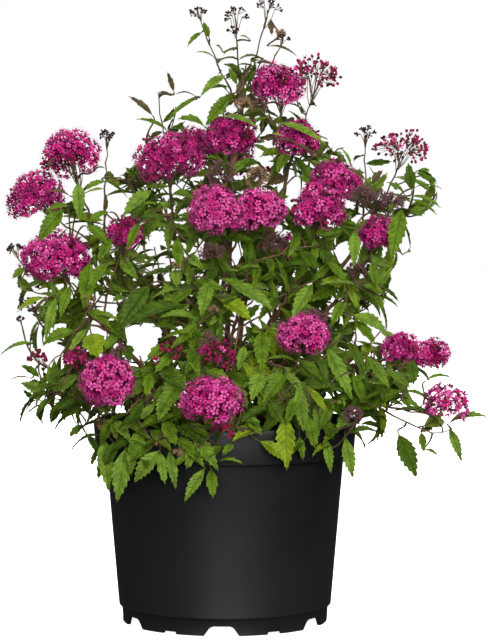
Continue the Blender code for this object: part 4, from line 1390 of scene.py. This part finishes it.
class SHRUB_OT_make_pot(bpy.types.Operator):
    """Make the pot: a finely turned shell whose foot ring is cut into six lobes"""

    bl_idname = "shrub.make_pot"
    bl_label = "Make Pot"

    def execute(self, context):
        settings = context.scene.shrub_pot
        pot = bpy.data.objects.new("pot_shell", turned("pot_shell", pot_profile(), settings.steps))
        context.scene.collection.objects.link(pot)
        pot.data.materials.append(
            plastic_finish("black_pot_plastic", settings.colour, settings.roughness, settings.grain)
        )
        cutters = bpy.data.collections.new("foot_cutters")
        context.scene.collection.children.link(cutters)
        for lobe in range(LOBES):
            gap = FRONT_GAP + lobe * math.tau / LOBES
            middle = gap + math.pi / LOBES
            cutters.objects.link(foot_cutter(f"foot_gap_{lobe}", gap, *FOOT_GAP))
            cutters.objects.link(foot_cutter(f"foot_notch_{lobe}", middle, *FOOT_NOTCH))
            cutters.objects.link(drain_cutter(f"drain_{lobe}", middle))
        cut = pot.modifiers.new("Cut Foot", "BOOLEAN")
        cut.operand_type = "COLLECTION"
        cut.collection = cutters
        rounded = pot.modifiers.new("Round Edges", "BEVEL")
        rounded.width = settings.edge
        rounded.segments = 2
        rounded.limit_method = "ANGLE"
        rounded.angle_limit = math.radians(50)
        context.view_layer.update()
        shape = bpy.data.meshes.new_from_object(pot.evaluated_get(context.evaluated_depsgraph_get()))
        pot.modifiers.clear()
        pot.data = shape
        shape.shade_smooth()
        shape.set_sharp_from_angle(angle=math.radians(35))
        for cutter in list(cutters.objects):
            bpy.data.objects.remove(cutter)
        bpy.data.collections.remove(cutters)
        place_piece(pot, ["pot"])
        return {"FINISHED"}


MIX_RINGS = 44
MIX_STEPS = 120
MIX_RISE = 0.0035


def mix_height(x, y):
    """The uneven top of the potting mix."""
    place = Vector((x, y, 0.0))
    return SOIL_TOP + MIX_RISE * (noise.noise(place * 28) + 0.5 * noise.noise(place * 95) - 0.4)


def add_mix_body(patch):
    """The potting mix: an uneven top, and sides that fill the pot to its floor."""
    edge = RIM_FOOT_RADIUS - WALL - SOIL_GAP
    skirt = [
        (edge, RIM_FOOT + RIM_STEP + 2 * SOIL_GAP),
        (WALL_TOP_RADIUS - WALL - SOIL_GAP, RIM_FOOT + SOIL_GAP),
        (WALL_FOOT_RADIUS - WALL - SOIL_GAP, WALL_FOOT + WALL),
        (FOOT_RADIUS - WALL - SOIL_GAP, FLOOR_TOP + 0.3 * MM),
    ]
    corners = [(0.0, 0.0, mix_height(0.0, 0.0))]
    for radius, height in [(edge * ring / MIX_RINGS, None) for ring in range(1, MIX_RINGS + 1)] + skirt:
        for step in range(MIX_STEPS):
            x, y = on_ring(radius, math.tau * step / MIX_STEPS)
            corners.append((x, y, mix_height(x, y) if height is None else height))
    faces = [[0, 1 + step, 1 + (step + 1) % MIX_STEPS] for step in range(MIX_STEPS)]
    for ring in range(MIX_RINGS + len(skirt) - 1):
        base = 1 + ring * MIX_STEPS
        for step in range(MIX_STEPS):
            after = (step + 1) % MIX_STEPS
            faces.append([base + step, base + MIX_STEPS + step, base + MIX_STEPS + after, base + after])
    faces.append(list(range(len(corners) - MIX_STEPS, len(corners)))[::-1])
    patch.add(corners, faces, 0)


def add_crumbs(patch, settings, rng):
    """Bark pieces of all sizes, each a knocked-about ball, half sunk in the mix."""
    bm = bmesh.new()
    bmesh.ops.create_icosphere(bm, subdivisions=1, radius=1.0)
    ball = [vert.co.copy() for vert in bm.verts]
    faces = [[vert.index for vert in face.verts] for face in bm.faces]
    bm.free()
    reach = RIM_FOOT_RADIUS - 3 * WALL
    for index in range(settings.crumbs):
        radius = reach * math.sqrt((index + 0.5) / settings.crumbs)
        angle = index * GOLDEN_ANGLE
        x, y = on_ring(radius, angle)
        size = settings.crumb / 2 * rng.uniform(0.25, 1.0) ** 1.5
        size = min(size, (reach - radius) / 2 + 0.5 * MM)
        turn = Quaternion(any_way(rng).normalized(), rng.uniform(0, math.pi))
        shape = Vector((1.0, rng.uniform(0.45, 0.9), rng.uniform(0.25, 0.6)))
        centre = Vector((x, y, mix_height(x, y) + size * 0.15))
        corners = []
        for vert in ball:
            knocked = vert * shape * size * rng.uniform(0.75, 1.1)
            corners.append(centre + turn @ knocked)
        patch.add(corners, faces, 1 if rng.random() < 0.6 else 2)


class SHRUB_OT_fill_pot(bpy.types.Operator):
    """Fill the pot with moist bark mix, and strew its top with crumbs of bark"""

    bl_idname = "shrub.fill_pot"
    bl_label = "Fill Pot"

    def execute(self, context):
        settings = context.scene.shrub_mix
        finishes = [
            crumb_finish("moist_peat", settings.peat, 0.6, 1.5),
            crumb_finish("bark_pieces", settings.bark, 0.5, 1.3),
            crumb_finish("dark_bark_pieces", settings.bark, 0.25, 0.7),
        ]
        patch = Patch()
        add_mix_body(patch)
        make_piece("potting_mix_body", patch, finishes, ["potting_mix"])
        crumbs = Patch()
        add_crumbs(crumbs, settings, random.Random(SEED + 1))
        make_piece("bark_crumbs", crumbs, finishes, [], smooth=False)
        return {"FINISHED"}


STEM_SIDES = 12
STEM_STATIONS = 56


class SHRUB_OT_grow_stems(bpy.types.Operator):
    """Grow the woody stems, furrowed, from the potting mix to their forks"""

    bl_idname = "shrub.grow_stems"
    bl_label = "Grow Stems"

    def execute(self, context):
        settings = context.scene.shrub_wood
        bark = wood_finish("stem_bark", settings.old_bark, 0.5, 1.35)

        def furrows(place, out):
            ridge = noise.noise(Vector((out.x * 4, out.y * 4, place.z * 45)) + place * 30)
            return settings.furrow * ridge

        patch = Patch()
        for stem in crown_of(context).stems:
            points = [along_line(stem, share)[0] for share in even(0.0, 1.0, STEM_STATIONS)]
            rise = line_length(points)
            radii = []
            for share in even(0.0, 1.0, STEM_STATIONS):
                flare = 1.0 + (STEM_FLARE - 1.0) * max(0.0, 1.0 - share * rise / STEM_FOOT)
                radii.append(blend(STEM_BASE_RADIUS, STEM_TIP_RADIUS, share) * flare)
            add_tube(patch, points, radii, STEM_SIDES, 0, furrows)
        make_piece("woody_stems", patch, [bark], STEM_NODES)
        return {"FINISHED"}


KNOT_SWELL = 1.22


class SHRUB_OT_grow_twigs(bpy.types.Operator):
    """Grow the shoots and the finer twigs, swollen a little at each joint"""

    bl_idname = "shrub.grow_twigs"
    bl_label = "Grow Twigs"

    def execute(self, context):
        settings = context.scene.shrub_wood
        finishes = [
            wood_finish("shoot_bark", settings.old_bark, 0.6, 1.4),
            wood_finish("young_twig_bark", settings.young_bark, 0.6, 1.3),
        ]
        patch = Patch()
        for twig in crown_of(context).twigs:
            radii = [
                radius * (KNOT_SWELL if index % 3 == 1 else 1.0) for index, radius in enumerate(twig.radii)
            ]
            sides = 6 if twig.kind == "old" else 5
            add_tube(patch, twig.line, radii, sides, 0 if twig.kind == "old" else 1)
        make_piece("twigs", patch, finishes, FOLIAGE_NODES)
        return {"FINISHED"}


LeafShape = namedtuple("LeafShape", "along across lift faces undersides")
LEAF_STALK = 0.05
# Width of the blade at a share of its length: fullness * share ** foot power * (1 - share) ** tip power
LEAF_FULLNESS = 4.75
LEAF_FOOT_POWER = 0.9
LEAF_TIP_POWER = 1.45
TOOTH_FORWARD = 0.6
STALK_SHARE = 0.07
LEAF_RIPPLE = 0.07
LEAF_NOTCH = 0.80
LEAF_RIB = 0.0005
SMALL_LEAF = 0.034


@functools.cache
def leaf_shape(teeth):
    """A toothed leaf: shares along and across at its corners, their lift, its faces, and which are beneath.

    Each station has the left margin, the left half, the midrib, the right half, the right margin, and the
    rib beneath.
    """
    stations = 2 * teeth + 2
    along = []
    across = []
    lift = []
    for station in range(stations):
        share = LEAF_STALK * station
        if station >= 2:
            share = min(LEAF_STALK + (1.0 - LEAF_STALK) * (station - 1) / (2 * teeth), 1.0)
        blade = max(share - LEAF_STALK, 0.0) / (1.0 - LEAF_STALK)
        width = LEAF_FULLNESS * blade ** LEAF_FOOT_POWER * (1.0 - blade) ** LEAF_TIP_POWER
        tooth = station % 2 == 1 and 1 < station < stations - 1
        margin = width * (1.0 if tooth else LEAF_NOTCH)
        margin = max(margin, STALK_SHARE if station < 2 else 0.0)
        ripple = 0.0 if tooth else LEAF_RIPPLE * width
        forward = TOOTH_FORWARD / (2 * teeth) if tooth else 0.0
        edge, half = share + forward, share + forward * 0.4
        along += [edge, half, share, half, edge, share]
        across += [-margin, -margin * 0.5, 0.0, margin * 0.5, margin, 0.0]
        lift += [0.0, ripple, 0.0, ripple, 0.0, 0.0]
    faces = [[1, 2, 3, 4, 5, 0]]
    undersides = [True]
    for base in range(0, 6 * (stations - 1), 6):
        for first in range(6):
            second = (first + 1) % 6
            faces.append([base + first, base + second, base + 6 + second, base + 6 + first])
            undersides.append(first > 3)
    last = 6 * (stations - 1)
    faces.append(list(range(last, last + 6)))
    undersides.append(True)
    return LeafShape(np.array(along), np.array(across), np.array(lift), faces, undersides)


def add_leaf(patch, leaf, teeth, finish, underside):
    """A leaf bent down along its length, folded along its midrib and twisted a little."""
    shape = leaf_shape(teeth)
    side = np.array(leaf.along.cross(leaf.face))
    ahead = np.array(leaf.along)
    face = np.array(leaf.face)
    angle = leaf.curl * shape.along
    forward = np.sin(angle) / leaf.curl * leaf.length
    drop = (1.0 - np.cos(angle)) / leaf.curl * leaf.length
    middle = np.array(leaf.root) + forward[:, None] * ahead - drop[:, None] * face
    upward = np.cos(angle)[:, None] * face + np.sin(angle)[:, None] * ahead
    twist = leaf.twist * shape.along
    right = np.cos(twist)[:, None] * side + np.sin(twist)[:, None] * upward
    upward = np.cos(twist)[:, None] * upward - np.sin(twist)[:, None] * side
    across = shape.across * leaf.width / 2
    lift = np.abs(across) * math.sin(leaf.fold) + shape.lift * leaf.width / 2
    lift[5::6] -= LEAF_RIB
    corners = middle + (across * math.cos(leaf.fold))[:, None] * right + lift[:, None] * upward
    finishes = [underside if beneath else finish for beneath in shape.undersides]
    blade_places = np.stack((np.abs(shape.across), shape.along), axis=1)
    patch.add(corners, shape.faces, finishes, blade_places)


PIECE_LIMIT = 165000


def add_pieces(name, things, add_one, finishes):
    """Joined pieces of one kind, each made once its triangles pass the limit, the last with what is left."""
    patch = Patch()
    number = 1
    for thing in things:
        add_one(patch, thing)
        if patch.triangles() > PIECE_LIMIT:
            make_piece(f"{name}_{number}", patch, finishes, FOLIAGE_NODES)
            patch = Patch()
            number += 1
    if patch.faces:
        make_piece(f"{name}_{number}", patch, finishes, FOLIAGE_NODES)


class SHRUB_OT_grow_leaves(bpy.types.Operator):
    """Grow the toothed leaves, one colour to a spray"""

    bl_idname = "shrub.grow_leaves"
    bl_label = "Grow Leaves"

    def execute(self, context):
        settings = context.scene.shrub_leaf
        finishes = [leaf_finish(f"leaf_{tone}", getattr(settings, tone)) for tone in TONES]
        finishes.append(leaf_finish("leaf_underside", settings.underside, 0.62))

        def add_one(patch, leaf):
            teeth = settings.teeth if leaf.length > SMALL_LEAF else max(3, settings.teeth // 2)
            add_leaf(patch, leaf, teeth, TONES.index(leaf.tone), len(TONES))

        add_pieces("leaves", crown_of(context).leaves, add_one, finishes)
        return {"FINISHED"}


FloretShape = namedtuple("FloretShape", "corners faces finishes")
PETALS = 5
PETAL_OUTLINE = ((0.16, 0.0), (0.50, -0.24), (0.80, -0.30), (1.0, 0.0), (0.80, 0.30), (0.50, 0.24))
HEART_RADIUS = 0.24
CALYX_RADIUS = 0.42
ANTHER_CORNERS = ((1, 0, -0.6), (-0.5, 0.87, -0.6), (-0.5, -0.87, -0.6), (0, 0, 1))
ANTHER_SIZE = 0.075
FINISH_PETAL, FINISH_HEART, FINISH_STAMEN, FINISH_ANTHER = 0, 3, 4, 5


def floret_shape(stamens, rng):
    """One open flower of width 2, facing +Z: five cupped petals, a dark middle and a burst of stamens."""
    corners = []
    faces = []
    finishes = []

    def add(new_corners, new_faces, finish):
        base = len(corners)
        corners.extend(new_corners)
        faces.extend([[base + corner for corner in face] for face in new_faces])
        finishes.extend([finish] * len(new_faces))

    for petal in range(PETALS):
        turn = math.tau * petal / PETALS + rng.uniform(-0.1, 0.1)
        reach = rng.uniform(0.88, 1.05)
        cup = rng.uniform(0.12, 0.34)
        petal_corners = []
        for out, across in PETAL_OUTLINE:
            x, y = out * reach, across
            spot = (x * math.cos(turn) - y * math.sin(turn), x * math.sin(turn) + y * math.cos(turn))
            petal_corners.append((*spot, cup * out * out + 0.10 * abs(across)))
        petal_corners.append(on_ring(0.6 * reach, turn, cup * 0.36 - 0.05))
        add(petal_corners, [[6, corner, (corner + 1) % 6] for corner in range(6)], FINISH_PETAL)

    ring = [on_ring(HEART_RADIUS, math.tau * k / 6, 0.02) for k in range(6)]
    add(ring + [(0.0, 0.0, 0.12)], [[6, k, (k + 1) % 6] for k in range(6)], FINISH_HEART)
    calyx = [on_ring(CALYX_RADIUS, math.tau * k / 6, 0.02) for k in range(6)]
    add(calyx + [(0.0, 0.0, -0.35)], [[(k + 1) % 6, k, 6] for k in range(6)], FINISH_HEART)

    for stamen in range(stamens):
        turn = stamen * GOLDEN_ANGLE
        lean = rng.uniform(0.4, 1.05)
        tip = Vector(on_ring(lean, turn, rng.uniform(0.65, 1.0)))
        foot = Vector(on_ring(0.2, turn, 0.02))
        across = Vector((-math.sin(turn), math.cos(turn), 0.0)) * 0.035
        add([foot + across, foot - across, tip], [[0, 1, 2]], FINISH_STAMEN)
        anther = [tip + Vector(corner) * ANTHER_SIZE for corner in ANTHER_CORNERS]
        add(anther, [[0, 2, 1], [0, 1, 3], [1, 2, 3], [2, 0, 3]], FINISH_ANTHER)
    return FloretShape(np.array(corners), faces, finishes)


# Shares of the light, rose and wine petals for a head of each colour; the light ones are partly painted
# light and the wine ones partly painted shade
PETAL_MIX = {
    "pink": (0.62, 0.32, 0.06),
    "rose": (0.34, 0.46, 0.20),
    "mauve": (0.34, 0.26, 0.40),
    "wine": (0.12, 0.42, 0.46),
    "red": (0.10, 0.50, 0.40),
}
LUMP_BACK = -0.15
BURIED_SHARE = 0.76
# Painted shade: dark flowers of the deepest pink set inside each cluster of a full head
PAINTED_SHADE_FLOWERS = 5
FLOWER_SHAPES = 5
# The open flowers and the buds on each cluster of a half-open head, by its colour
OPEN_FLOWERS = {"pink": 9, "red": 1, "mauve": 1}
OPEN_BUDS = {"pink": 3, "red": 8, "mauve": 8}


def lump_spots(head, lump, flowers, rng):
    """The place, direction and size of each flower on a cluster of a head, but for those inside another."""
    around = lump.way.to_track_quat("Z", "Y")
    for index in range(flowers):
        level = blend(1.0, LUMP_BACK, (index + 0.5) / flowers)
        ring = math.sqrt(1.0 - level * level)
        angle = index * GOLDEN_ANGLE
        way = around @ Vector(on_ring(ring, angle, level))
        place = lump.centre + way * lump.radius * rng.uniform(0.82, 1.18)
        others = [other for other in head.lumps if other != lump]
        if any((place - other.centre).length < other.radius * BURIED_SHARE for other in others):
            continue
        stray = any_way(rng) * 0.5
        yield place, (way + lump.way * 0.35 + stray).normalized(), rng.uniform(0.75, 1.1)


class SHRUB_OT_open_flowers(bpy.types.Operator):
    """Open the flowers of every full and half-open head"""

    bl_idname = "shrub.open_flowers"
    bl_label = "Open Flowers"

    def execute(self, context):
        settings = context.scene.shrub_flower
        rng = random.Random(SEED + 2)
        shapes = [floret_shape(settings.stamens, rng) for _ in range(FLOWER_SHAPES)]
        plain = floret_shape(0, rng)
        finishes = [
            petal_finish("petal_light", settings.light),
            petal_finish("petal_rose", settings.rose),
            petal_finish("petal_wine", settings.wine),
            petal_finish("flower_heart", settings.heart),
            petal_finish("stamen", settings.stamen),
            petal_finish("anther", scaled(settings.stamen, 0.6)),
        ]

        def add_floret(patch, shape, place, facing, size, petal):
            spin = Quaternion(facing, rng.uniform(0, math.tau)) @ facing.to_track_quat("Z", "Y")
            turn = np.array(spin.to_matrix()) * (settings.floret / 2 * size)
            tones = [petal if one == FINISH_PETAL else one for one in shape.finishes]
            patch.add(shape.corners @ turn.T + np.array(place), shape.faces, tones)

        def add_one(patch, head):
            for lump in head.lumps:
                area = math.tau * lump.radius ** 2 * (1.0 - LUMP_BACK)
                flowers = max(3, round(settings.crowding * area / settings.floret ** 2))
                if lump.kind == "buds":
                    flowers = OPEN_FLOWERS[head.tone] if head.kind == "open" else 0
                for place, facing, size in lump_spots(head, lump, flowers, rng):
                    petal = rng.choices((0, 1, 2), PETAL_MIX[head.tone])[0]
                    add_floret(patch, rng.choice(shapes), place, facing, size, petal)
                # Painted shade: flowers of the deepest pink, without stamens, inside the cluster
                if head.kind == "full":
                    for _ in range(PAINTED_SHADE_FLOWERS):
                        stray = any_way(rng)
                        inside = lump.centre - lump.way * lump.radius * 0.3 + stray * lump.radius * 0.4
                        add_floret(patch, plain, inside, (lump.way + stray * 0.6).normalized(), 1.1, 2)

        heads = [head for head in crown_of(context).heads if head.kind in ("full", "open")]
        add_pieces("blossom", heads, add_one, finishes)
        return {"FINISHED"}


def ball_shape(sides, rings):
    bm = bmesh.new()
    bmesh.ops.create_uvsphere(bm, u_segments=sides, v_segments=rings, radius=1.0)
    corners = np.array([vert.co for vert in bm.verts])
    faces = [[vert.index for vert in face.verts] for face in bm.faces]
    bm.free()
    return corners, faces


BUDS_EACH = {"full": 12, "spent": 14, "buds": 7}
HEAD_STALK = 0.00055
BUD_STALK = 0.00028
HUSK_STAMENS = 7


def add_stalk(patch, start, end, radius, finish, rng):
    """A fine stalk with a slight bow."""
    reach = (end - start).length
    bow = any_way(rng) * reach * 0.10
    line = bezier(start, start.lerp(end, 0.33) + bow, start.lerp(end, 0.67) + bow, end, 4)
    add_tube(patch, line, even(radius, radius * 0.7, 4), 3, finish)


class SHRUB_OT_set_buds(bpy.types.Operator):
    """Set the branchlets of every head, with their closed buds, and the husks of the spent ones"""

    bl_idname = "shrub.set_buds"
    bl_label = "Set Buds"

    def execute(self, context):
        buds = context.scene.shrub_bud
        wood = context.scene.shrub_wood
        rng = random.Random(SEED + 3)
        finishes = [
            wood_finish("branchlet_bark", wood.young_bark, 0.5, 1.1),
            petal_finish("young_bud", buds.dark),
            petal_finish("ripe_bud", buds.red),
            petal_finish("mauve_husk", buds.mauve_husk, 0.8),
            petal_finish("tan_husk", buds.tan_husk, 0.8),
        ]
        ball, ball_faces = ball_shape(5, 4)

        def add_ball(patch, place, facing, width, finish):
            turn = np.array(facing.to_track_quat("Z", "Y").to_matrix()) * (width / 2)
            stretched = ball * np.array((1.0, 1.0, 1.15))
            patch.add(stretched @ turn.T + np.array(place), ball_faces, finish)

        def add_husk(patch, place, facing, finish):
            """A dry cup with a tuft of dry stamens."""
            add_ball(patch, place, facing, buds.width * 0.75, finish)
            turn = facing.to_track_quat("Z", "Y")
            for index in range(HUSK_STAMENS):
                angle = index * GOLDEN_ANGLE
                way = turn @ Vector(on_ring(0.8, angle, 0.9))
                across = turn @ Vector((-math.sin(angle), math.cos(angle), 0.0)) * 0.14 * MM
                tip = place + way * buds.width * 1.2
                patch.add([place + across, place - across, tip], [[0, 1, 2]], finish)

        def add_one(patch, head):
            length = line_length(head.line)
            for lump in head.lumps:
                below = head.height * rng.uniform(0.45, 0.75)
                root, _ = along_line(head.line, max(0.4, 1.0 - below / length))
                divide = lump.centre - lump.way * lump.radius * 0.8
                add_stalk(patch, root, divide, HEAD_STALK, 0, rng)
                if lump.kind == "full":
                    continue
                buds_here = OPEN_BUDS[head.tone] if head.kind == "open" else BUDS_EACH[head.kind]
                for _ in range(buds_here):
                    stray = any_way(rng)
                    facing = (lump.way * 0.9 + stray).normalized()
                    end = lump.centre + facing * lump.radius * rng.uniform(0.6, 1.1)
                    add_stalk(patch, divide, end, BUD_STALK, 0, rng)
                    if head.kind == "spent":
                        add_husk(patch, end, facing, 4 if head.tone == "tan" else 3)
                        continue
                    ripe = head.kind in ("full", "open") or head.tone == "red"
                    width = buds.width * (1.5 if ripe else 1.0) * rng.uniform(0.75, 1.1)
                    add_ball(patch, end, facing, width, 2 if ripe and rng.random() < 0.75 else 1)

        add_pieces("buds", crown_of(context).heads, add_one, finishes)
        return {"FINISHED"}


FLOOR_REACH = 12.0
FLOOR_DROP = 0.2 * MM
FLOOR_GLOW = 0.96
WHITE = (1.0, 1.0, 1.0, 1.0)
# Name, place, width, height, and the setting that has its power
LIGHTS = (
    ("key_light", (0.7, -3.0, 1.35), 1.2, 1.6, "key_light"),
    ("fill_light", (-0.3, -3.2, 0.5), 2.0, 1.4, "fill_light"),
    ("back_light", (0.0, 2.8, 2.2), 1.8, 1.4, "back_light"),
    ("left_light", (-2.2, 0.5, 2.0), 1.2, 1.2, "side_light"),
    ("right_light", (2.2, 0.5, 2.0), 1.2, 1.2, "side_light"),
    ("top_light", (0.0, -0.3, 2.5), 1.8, 1.8, "top_light"),
)


def soft_light(name, place, width, height, power):
    """A rectangle of light at a place, aimed at the crown's middle."""
    light = bpy.data.lights.new(name, "AREA")
    light.shape = "RECTANGLE"
    light.size = width
    light.size_y = height
    light.energy = power
    lamp = bpy.data.objects.new(name, light)
    lamp.location = place
    lamp.rotation_mode = "QUATERNION"
    lamp.rotation_quaternion = (CROWN_HEART - Vector(place)).to_track_quat("-Z", "Y")
    bpy.context.scene.collection.objects.link(lamp)


def floor_finish(colour):
    """A pale floor with a faint cloudiness, that glows a little so that it stays pale far off."""
    made, tree, shader = new_material("pale_floor", 0.9, 0.1)
    mottled(tree, shader, scaled(colour, 0.99), colour, 3.0)
    shader.inputs["Emission Color"].default_value = WHITE
    shader.inputs["Emission Strength"].default_value = FLOOR_GLOW
    return made


class SHRUB_OT_set_stage(bpy.types.Operator):
    """Set the floor, the soft lights and the camera"""

    bl_idname = "shrub.set_stage"
    bl_label = "Set Stage"

    def execute(self, context):
        settings = context.scene.shrub_stage
        scene = context.scene
        bm = bmesh.new()
        bmesh.ops.create_grid(bm, x_segments=8, y_segments=8, size=FLOOR_REACH)
        mesh = mesh_from("floor", bm)
        mesh.materials.append(floor_finish(settings.floor))
        floor = bpy.data.objects.new("floor", mesh)
        floor.location.z = -FLOOR_DROP
        floor.visible_diffuse = False
        floor.visible_glossy = False
        scene.collection.objects.link(floor)
        floor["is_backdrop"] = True

        for name, place, width, height, power in LIGHTS:
            soft_light(name, place, width, height, getattr(settings, power))

        world = bpy.data.worlds.new("studio")
        scene.world = world
        world.use_nodes = True
        tree = world.node_tree
        tree.nodes.clear()
        output = tree.nodes.new("ShaderNodeOutputWorld")
        seen = tree.nodes.new("ShaderNodeBackground")
        seen.inputs["Color"].default_value = WHITE
        seen.inputs["Strength"].default_value = 1.0
        lighting = tree.nodes.new("ShaderNodeBackground")
        lighting.inputs["Color"].default_value = WHITE
        lighting.inputs["Strength"].default_value = settings.ambient
        path = tree.nodes.new("ShaderNodeLightPath")
        mix = tree.nodes.new("ShaderNodeMixShader")
        tree.links.new(path.outputs["Is Camera Ray"], mix.inputs["Fac"])
        tree.links.new(lighting.outputs["Background"], mix.inputs[1])
        tree.links.new(seen.outputs["Background"], mix.inputs[2])
        tree.links.new(mix.outputs["Shader"], output.inputs["Surface"])
        scene.view_settings.view_transform = "Standard"

        data = bpy.data.cameras.new("camera")
        data.sensor_fit = "VERTICAL"
        data.sensor_height = 24.0
        data.lens = VIEW_FOCUS / VIEW_HEIGHT * data.sensor_height
        camera = bpy.data.objects.new("camera", data)
        camera.location = VIEW_PLACE
        camera.rotation_euler = (math.radians(90.0) - VIEW_PITCH, 0.0, 0.0)
        scene.collection.objects.link(camera)
        scene.camera = camera
        return {"FINISHED"}


class SHRUB_PT_panel(bpy.types.Panel):
    """Lists the pieces of the shrub with their settings"""

    bl_idname = "SHRUB_PT_panel"
    bl_label = "Potted Spirea Shrub"
    bl_space_type = "VIEW_3D"
    bl_region_type = "UI"
    bl_category = "Shrub"

    def draw(self, context):
        layout = self.layout
        for operator, group in STEPS:
            box = layout.box()
            settings = getattr(context.scene, group)
            for name in settings.__annotations__:
                box.prop(settings, name)
            box.operator(operator.bl_idname)


STEPS = (
    (SHRUB_OT_make_pot, "shrub_pot"),
    (SHRUB_OT_fill_pot, "shrub_mix"),
    (SHRUB_OT_grow_stems, "shrub_wood"),
    (SHRUB_OT_grow_twigs, "shrub_wood"),
    (SHRUB_OT_grow_leaves, "shrub_leaf"),
    (SHRUB_OT_open_flowers, "shrub_flower"),
    (SHRUB_OT_set_buds, "shrub_bud"),
    (SHRUB_OT_set_stage, "shrub_stage"),
)
GROUPS = {
    "shrub_pot": PotSettings,
    "shrub_mix": MixSettings,
    "shrub_wood": WoodSettings,
    "shrub_leaf": LeafSettings,
    "shrub_flower": FlowerSettings,
    "shrub_bud": BudSettings,
    "shrub_stage": StageSettings,
}


def register():
    for name, group in GROUPS.items():
        bpy.utils.register_class(group)
        setattr(bpy.types.Scene, name, PointerProperty(type=group))
    for operator, _ in STEPS:
        bpy.utils.register_class(operator)
    bpy.utils.register_class(SHRUB_PT_panel)


def unregister():
    bpy.utils.unregister_class(SHRUB_PT_panel)
    for operator, _ in reversed(STEPS):
        bpy.utils.unregister_class(operator)
    for name, group in reversed(GROUPS.items()):
        delattr(bpy.types.Scene, name)
        bpy.utils.unregister_class(group)


def main():
    cad_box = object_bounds()
    register()
    for operator, _ in STEPS:
        family, name = operator.bl_idname.split(".")
        getattr(getattr(bpy.ops, family), name)()
    visual_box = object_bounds()
    [[list(corner) for corner in box] for box in (cad_box, visual_box)]


if __name__ == "__main__":
    main()
